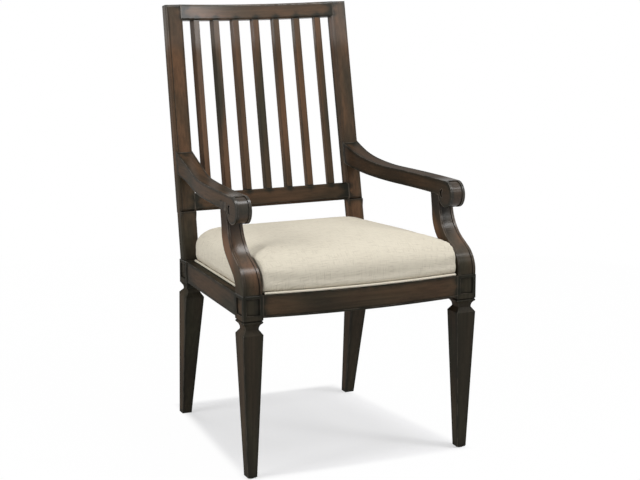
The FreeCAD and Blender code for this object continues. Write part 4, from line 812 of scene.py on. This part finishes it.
def piping(path, radius, ruck):
    """A round cord carried along a path of points, with rounded ends and small rucks.

    Each point of the path gives a ring: path point plus radius times (cosine, sine) of the angle on the
    sideways and upward directions. The radius swells and shrinks by a few hundredths with the distance
    along the path and the angle, and falls to nothing in a quarter circle at both ends.
    """
    step = np.linalg.norm(np.diff(path, axis=0), axis=1)
    along = np.concatenate([[0], np.cumsum(step)])
    tangent = np.gradient(path, along, axis=0)
    tangent /= np.linalg.norm(tangent, axis=1, keepdims=True)
    side = np.cross(tangent, (0, 0, 1))
    side /= np.linalg.norm(side, axis=1, keepdims=True)
    up = np.cross(side, tangent)
    sides, swell_share, inner_share, tip_share = 20, 0.03, 0.97, 0.02
    angle = np.arange(sides) * (2 * math.pi / sides)
    from_end = np.minimum(along, along[-1] - along)
    taper = np.sqrt(np.clip(1 - (1 - np.minimum(from_end / radius, 1)) ** 2, 0, 1))
    wave = 1 + swell_share * np.sin(2 * math.pi * along[:, None] / ruck + angle[None, :])
    size = (radius * inner_share * np.maximum(taper, tip_share))[:, None] * wave
    ring = size[..., None] * (np.cos(angle)[None, :, None] * side[:, None]
                              + np.sin(angle)[None, :, None] * up[:, None])
    points = (path[:, None] + ring).reshape(-1, 3)
    cloth = np.stack(np.broadcast_arrays(along[:, None], radius * angle[None, :]), axis=-1).reshape(-1, 2)
    quads = grid_faces(len(path), sides, closed=True)
    first, last = np.arange(sides), (len(path) - 1) * sides + np.arange(sides)
    return points, quads, first, last, cloth


def paced(start, end, bow, step):
    """Points from start to end a step apart, and closer at the ends; a bow bends the run to the front."""
    end_rings, end_zone = 9, 0.006
    run = np.linalg.norm(end - start)
    share = (1 - np.cos(np.linspace(0, math.pi, end_rings))) / 2 * end_zone / run
    inner = np.linspace(0, 1, max(3, round(run / step)))[1:-1]
    inner = inner[(inner > share[-1]) & (inner < 1 - share[-1])]
    share = np.unique(np.concatenate([share, inner, 1 - share]))
    points = start + (end - start) * share[:, None]
    if bow:
        half = run / 2
        radius = (half ** 2 + bow ** 2) / (2 * bow)
        across = (share * 2 - 1) * half
        points[:, 1] -= np.sqrt(radius ** 2 - across ** 2) - (radius - bow)
    return points


class CHAIR_OT_welt(bpy.types.Operator):
    """Makes the bias-cut piping round the foot of the seat pad"""
    bl_idname = "chair.welt"
    bl_label = "Make the piping"

    def execute(self, context):
        sizes, cloth_sizes = context.scene.chair_welt, context.scene.chair_linen
        lift = sizes.lift
        front_half, front_depth, front_bow = 0.2408, 0.0036, 0.020
        rear_half, rear_depth = 0.2018, 0.4919
        side_depths, inset, step = (0.0517, 0.4653), 0.0031, 0.0022
        runs = [((-front_half, front_depth, lift), (front_half, front_depth, lift), front_bow),
                ((rear_half, rear_depth, lift), (-rear_half, rear_depth, lift), 0.0)]
        for side in (-1, 1):
            ends = [(side * (seat_side(depth) - inset), depth, lift) for depth in side_depths]
            runs.append((*ends, 0.0))
        points, faces, cloth, count = [], [], [], 0
        for start, end, bow in runs:
            path = paced(np.array(start), np.array(end), bow, step)
            ring_points, quads, first, last, place = piping(path, sizes.radius, sizes.ruck)
            points.append(ring_points)
            cloth.append(place)
            faces += (quads + count).tolist() + [(first + count).tolist()[::-1], (last + count).tolist()]
            count += len(ring_points)
        mesh = bpy.data.meshes.new("seat_piping")
        mesh.from_pydata(seat_to_chair(np.concatenate(points)).tolist(), [], faces)
        outward(mesh)
        shade_smooth(mesh)
        give_cloth(mesh, np.concatenate(cloth))
        mesh.materials.append(linen("piping linen", cloth_sizes.piping, cloth_sizes.light_yarn,
                                    bias=math.pi / 4))
        welt = bpy.data.objects.new("seat_piping", mesh)
        context.scene.collection.objects.link(welt)
        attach(welt, "root")
        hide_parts("seat_welt")
        return {"FINISHED"}


def outward(mesh):
    """Turns every face of closed shells outward."""
    made = bmesh.new()
    made.from_mesh(mesh)
    bmesh.ops.recalc_face_normals(made, faces=made.faces)
    made.to_mesh(mesh)
    made.free()


def lining_cloth():
    """Black spun-bonded lining with a fine dimpled bond pattern."""
    material, tree, shader = new_material("dust cloth")
    cloth = add(tree, "UVMap", uv_map="Weave").outputs[0]
    fibres = noise(tree, stretched(tree, cloth, 0.0009, 0.004, 1.0), 1.0, 4.0, 0.7)
    dimples = add(tree, "TexVoronoi", {"Vector": cloth, "Scale": 480.0}, feature="F1").outputs["Distance"]
    lint = span(tree, noise(tree, cloth, 55.0, 5.0, 0.7), 0.58, 0.75)
    colour = blend(tree, fibres, (0.012, 0.012, 0.013, 1), (0.035, 0.035, 0.037, 1))
    colour = blend(tree, times(tree, lint, 0.35), colour, (0.11, 0.10, 0.09, 1))
    height = calc(tree, "MULTIPLY_ADD", fibres, 0.5, dimples)
    bump = add(tree, "Bump", {"Strength": 0.5, "Distance": 0.0003, "Height": height})
    rough = calc(tree, "MULTIPLY_ADD", fibres, 0.15, 0.8)
    feed(tree, shader, base_color=colour, roughness=rough, normal=bump.outputs[0])
    return material


class CHAIR_OT_dust_cover(bpy.types.Operator):
    """Makes the lining cloth stretched under the seat board"""
    bl_idname = "chair.dust_cover"
    bl_label = "Make the dust cover"

    def execute(self, context):
        sizes = context.scene.chair_dust_cover
        # A place is the half width at that depth times the share across, the depth, and a sag that is
        # full over the middle, eases to nothing near the edges and has slow waves in it
        count, below, tight = 61, 0.0004, 0.45
        steps = np.linspace(-1, 1, count)
        along, across = np.meshgrid(steps, steps, indexing="ij")
        share = (along + 1) / 2
        half = (sizes.front_width + (sizes.rear_width - sizes.front_width) * share) / 2
        slack = np.clip((1 - along ** 6) * (1 - across ** 6) - tight, 0, 1) / (1 - tight)
        waves = 0.85 + 0.15 * np.sin(9 * along + 4 * across)
        rise = -below - sizes.sag * slack * slack * (3 - 2 * slack) * waves
        depth = sizes.front + share * sizes.depth
        points = np.stack([across * half, depth, rise], axis=-1).reshape(-1, 3)
        cover = piece("dust_cloth", seat_to_chair(points), grid_faces(count, count)[:, ::-1],
                      lining_cloth(), points[:, :2])
        wall = cover.modifiers.new("thickness", "SOLIDIFY")
        wall.thickness, wall.offset = sizes.thickness, 0
        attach(cover, "root")
        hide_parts("dust_cover")
        return {"FINISHED"}


# Setting
def seen_directly(tree):
    """1 for rays that show the surface, also in a reflection or through glass; 0 for those that light."""
    rays = add(tree, "LightPath").outputs
    return calc(tree, "MAXIMUM", rays["Is Camera Ray"],
                calc(tree, "MAXIMUM", rays["Is Glossy Ray"], rays["Is Transmission Ray"]))


def beyond(tree, coordinate, half):
    """How far a place is past a half width on either side."""
    return calc(tree, "SUBTRACT", calc(tree, "ABSOLUTE", coordinate), half)


def floor_material(lift):
    """Pale floor that shows the chair's shadow between the feet; outside them it is painted white over the
    shadow, and white farther off.
    """
    made = bpy.data.materials.new("pale floor")
    tree = empty_tree(made)
    seen = seen_directly(tree)
    place = object_place(tree)
    grain = noise(tree, place, 40.0, 3.0)
    tone = blend(tree, grain, rgba((0.70, 0.70, 0.70)), rgba((0.72, 0.72, 0.72)))
    shown = blend(tree, grain, rgba((0.44, 0.44, 0.45)), rgba((0.46, 0.46, 0.47)))
    lit = add(tree, "BsdfDiffuse", {"Color": blend(tree, seen, tone, shown)})
    glow = add(tree, "Emission", {"Color": WHITE, "Strength": times(tree, seen, lift)})
    near = add(tree, "AddShader", {0: lit.outputs[0], 1: glow.outputs[0]})
    white = add(tree, "Emission", {"Color": WHITE, "Strength": 1.0})
    far = add(tree, "VectorMath", {0: place}, operation="LENGTH").outputs["Value"]
    # The shadow shows in the space between the feet, narrower at the rear; just outside it the floor is
    # painted white over the lamps' shadow
    parts = parts_of(tree, place)
    half = calc(tree, "MULTIPLY_ADD", parts[1], -math.tan(SIDE_TAPER), FEET_HALF_WIDTH)
    outside = calc(tree, "MAXIMUM", beyond(tree, parts[0], half), beyond(tree, parts[1], FEET_HALF_DEPTH))
    clear = times(tree, span(tree, outside, -0.01, 0.025), 0.96)
    away = times(tree, calc(tree, "MAXIMUM", span(tree, far, 1.0, 2.4), clear), seen)
    mixed = add(tree, "MixShader", {0: away, 1: near.outputs[0], 2: white.outputs[0]})
    add(tree, "OutputMaterial", {"Surface": mixed.outputs[0]})
    return made


def white_world(ambient):
    world = bpy.data.worlds.new("white studio")
    bpy.context.scene.world = world
    tree = empty_tree(world)
    soft = add(tree, "Background", {"Color": WHITE, "Strength": ambient})
    white = add(tree, "Background", {"Color": WHITE, "Strength": 1.0})
    mixed = add(tree, "MixShader", {0: seen_directly(tree), 1: soft.outputs[0], 2: white.outputs[0]})
    add(tree, "OutputWorld", {"Surface": mixed.outputs[0]})


# Name, place, point it faces, width, height and watts of each lamp
LAMPS = (
    ("key", (-2.9, -0.5, 2.0), (0, 0, 0.5), 1.3, 1.3, 41),
    ("gleam", (0.72, -0.66, 2.85), (0, -0.2, 0.5), 0.8, 0.8, 30),
    ("right gleam", (1.72, -1.6, 2.85), (0.25, -0.25, 0.6), 0.5, 0.5, 13),
    ("right", (2.1, -2.25, 1.95), (0, 0, 0.9), 0.4, 0.5, 15.5),
    ("back", (-0.8, 3.0, 1.7), (0, 0, 0.55), 1.2, 1.0, 20),
)


class CHAIR_OT_setting(bpy.types.Operator):
    """Makes the pale floor, the white studio, the lamps and the camera"""
    bl_idname = "chair.setting"
    bl_label = "Make the setting"

    def execute(self, context):
        sizes, scene = context.scene.chair_setting, context.scene
        white_world(sizes.ambient)
        ends = np.array([[-1, -1, 0], [1, -1, 0], [1, 1, 0], [-1, 1, 0]], float) * FLOOR_REACH
        floor = piece("floor", ends, np.array([[0, 1, 2, 3]]), floor_material(sizes.floor), ends[:, :2])
        for name, place, target, width, height, watts in LAMPS:
            lamp = bpy.data.lights.new(name + "_lamp", "AREA")
            lamp.shape = "RECTANGLE"
            lamp.size, lamp.size_y, lamp.energy = width, height, watts
            made = bpy.data.objects.new(name + "_lamp", lamp)
            made.location = place
            made.rotation_euler = (Vector(target) - Vector(place)).to_track_quat("-Z", "Y").to_euler()
            scene.collection.objects.link(made)
        camera = bpy.data.cameras.new("photo_camera")
        camera.sensor_width, camera.lens = 36.0, sizes.lens
        camera.clip_start, camera.clip_end = 0.05, 60
        view = bpy.data.objects.new("photo_camera", camera)
        turn = (Matrix.Rotation(-sizes.yaw, 4, "Z") @ Matrix.Rotation(math.pi / 2 - sizes.pitch, 4, "X")
                @ Matrix.Rotation(-sizes.roll, 4, "Z"))
        view.matrix_world = Matrix.Translation(sizes.eye) @ turn
        scene.collection.objects.link(view)
        scene.camera = view
        scene.view_settings.view_transform = "Standard"
        return {"FINISHED"}


STEPS = (CHAIR_OT_setting, CHAIR_OT_show_wood, CHAIR_OT_hidden_parts, CHAIR_OT_seat_pad, CHAIR_OT_welt,
         CHAIR_OT_dust_cover)


class CHAIR_PT_panel(bpy.types.Panel):
    """Lists the chair's pieces, sizes and colours"""
    bl_idname = "CHAIR_PT_panel"
    bl_label = "Slat-back armchair"
    bl_space_type = "VIEW_3D"
    bl_region_type = "UI"
    bl_category = "Armchair"

    def draw(self, context):
        for step in STEPS:
            self.layout.operator(step.bl_idname)
        for attribute, kind in GROUPS.items():
            box = self.layout.box()
            for size in kind.__annotations__:
                box.prop(getattr(context.scene, attribute), size)


CLASSES = (*GROUPS.values(), *STEPS, CHAIR_PT_panel)


def register():
    for item in CLASSES:
        bpy.utils.register_class(item)
    for attribute, kind in GROUPS.items():
        setattr(bpy.types.Scene, attribute, PointerProperty(type=kind))


def unregister():
    for attribute in GROUPS:
        delattr(bpy.types.Scene, attribute)
    for item in reversed(CLASSES):
        bpy.utils.unregister_class(item)


def main():
    register()
    for step in STEPS:
        group, name = step.bl_idname.split(".")
        getattr(getattr(bpy.ops, group), name)()
    bpy.context.view_layer.update()


if __name__ == "__main__":
    main()
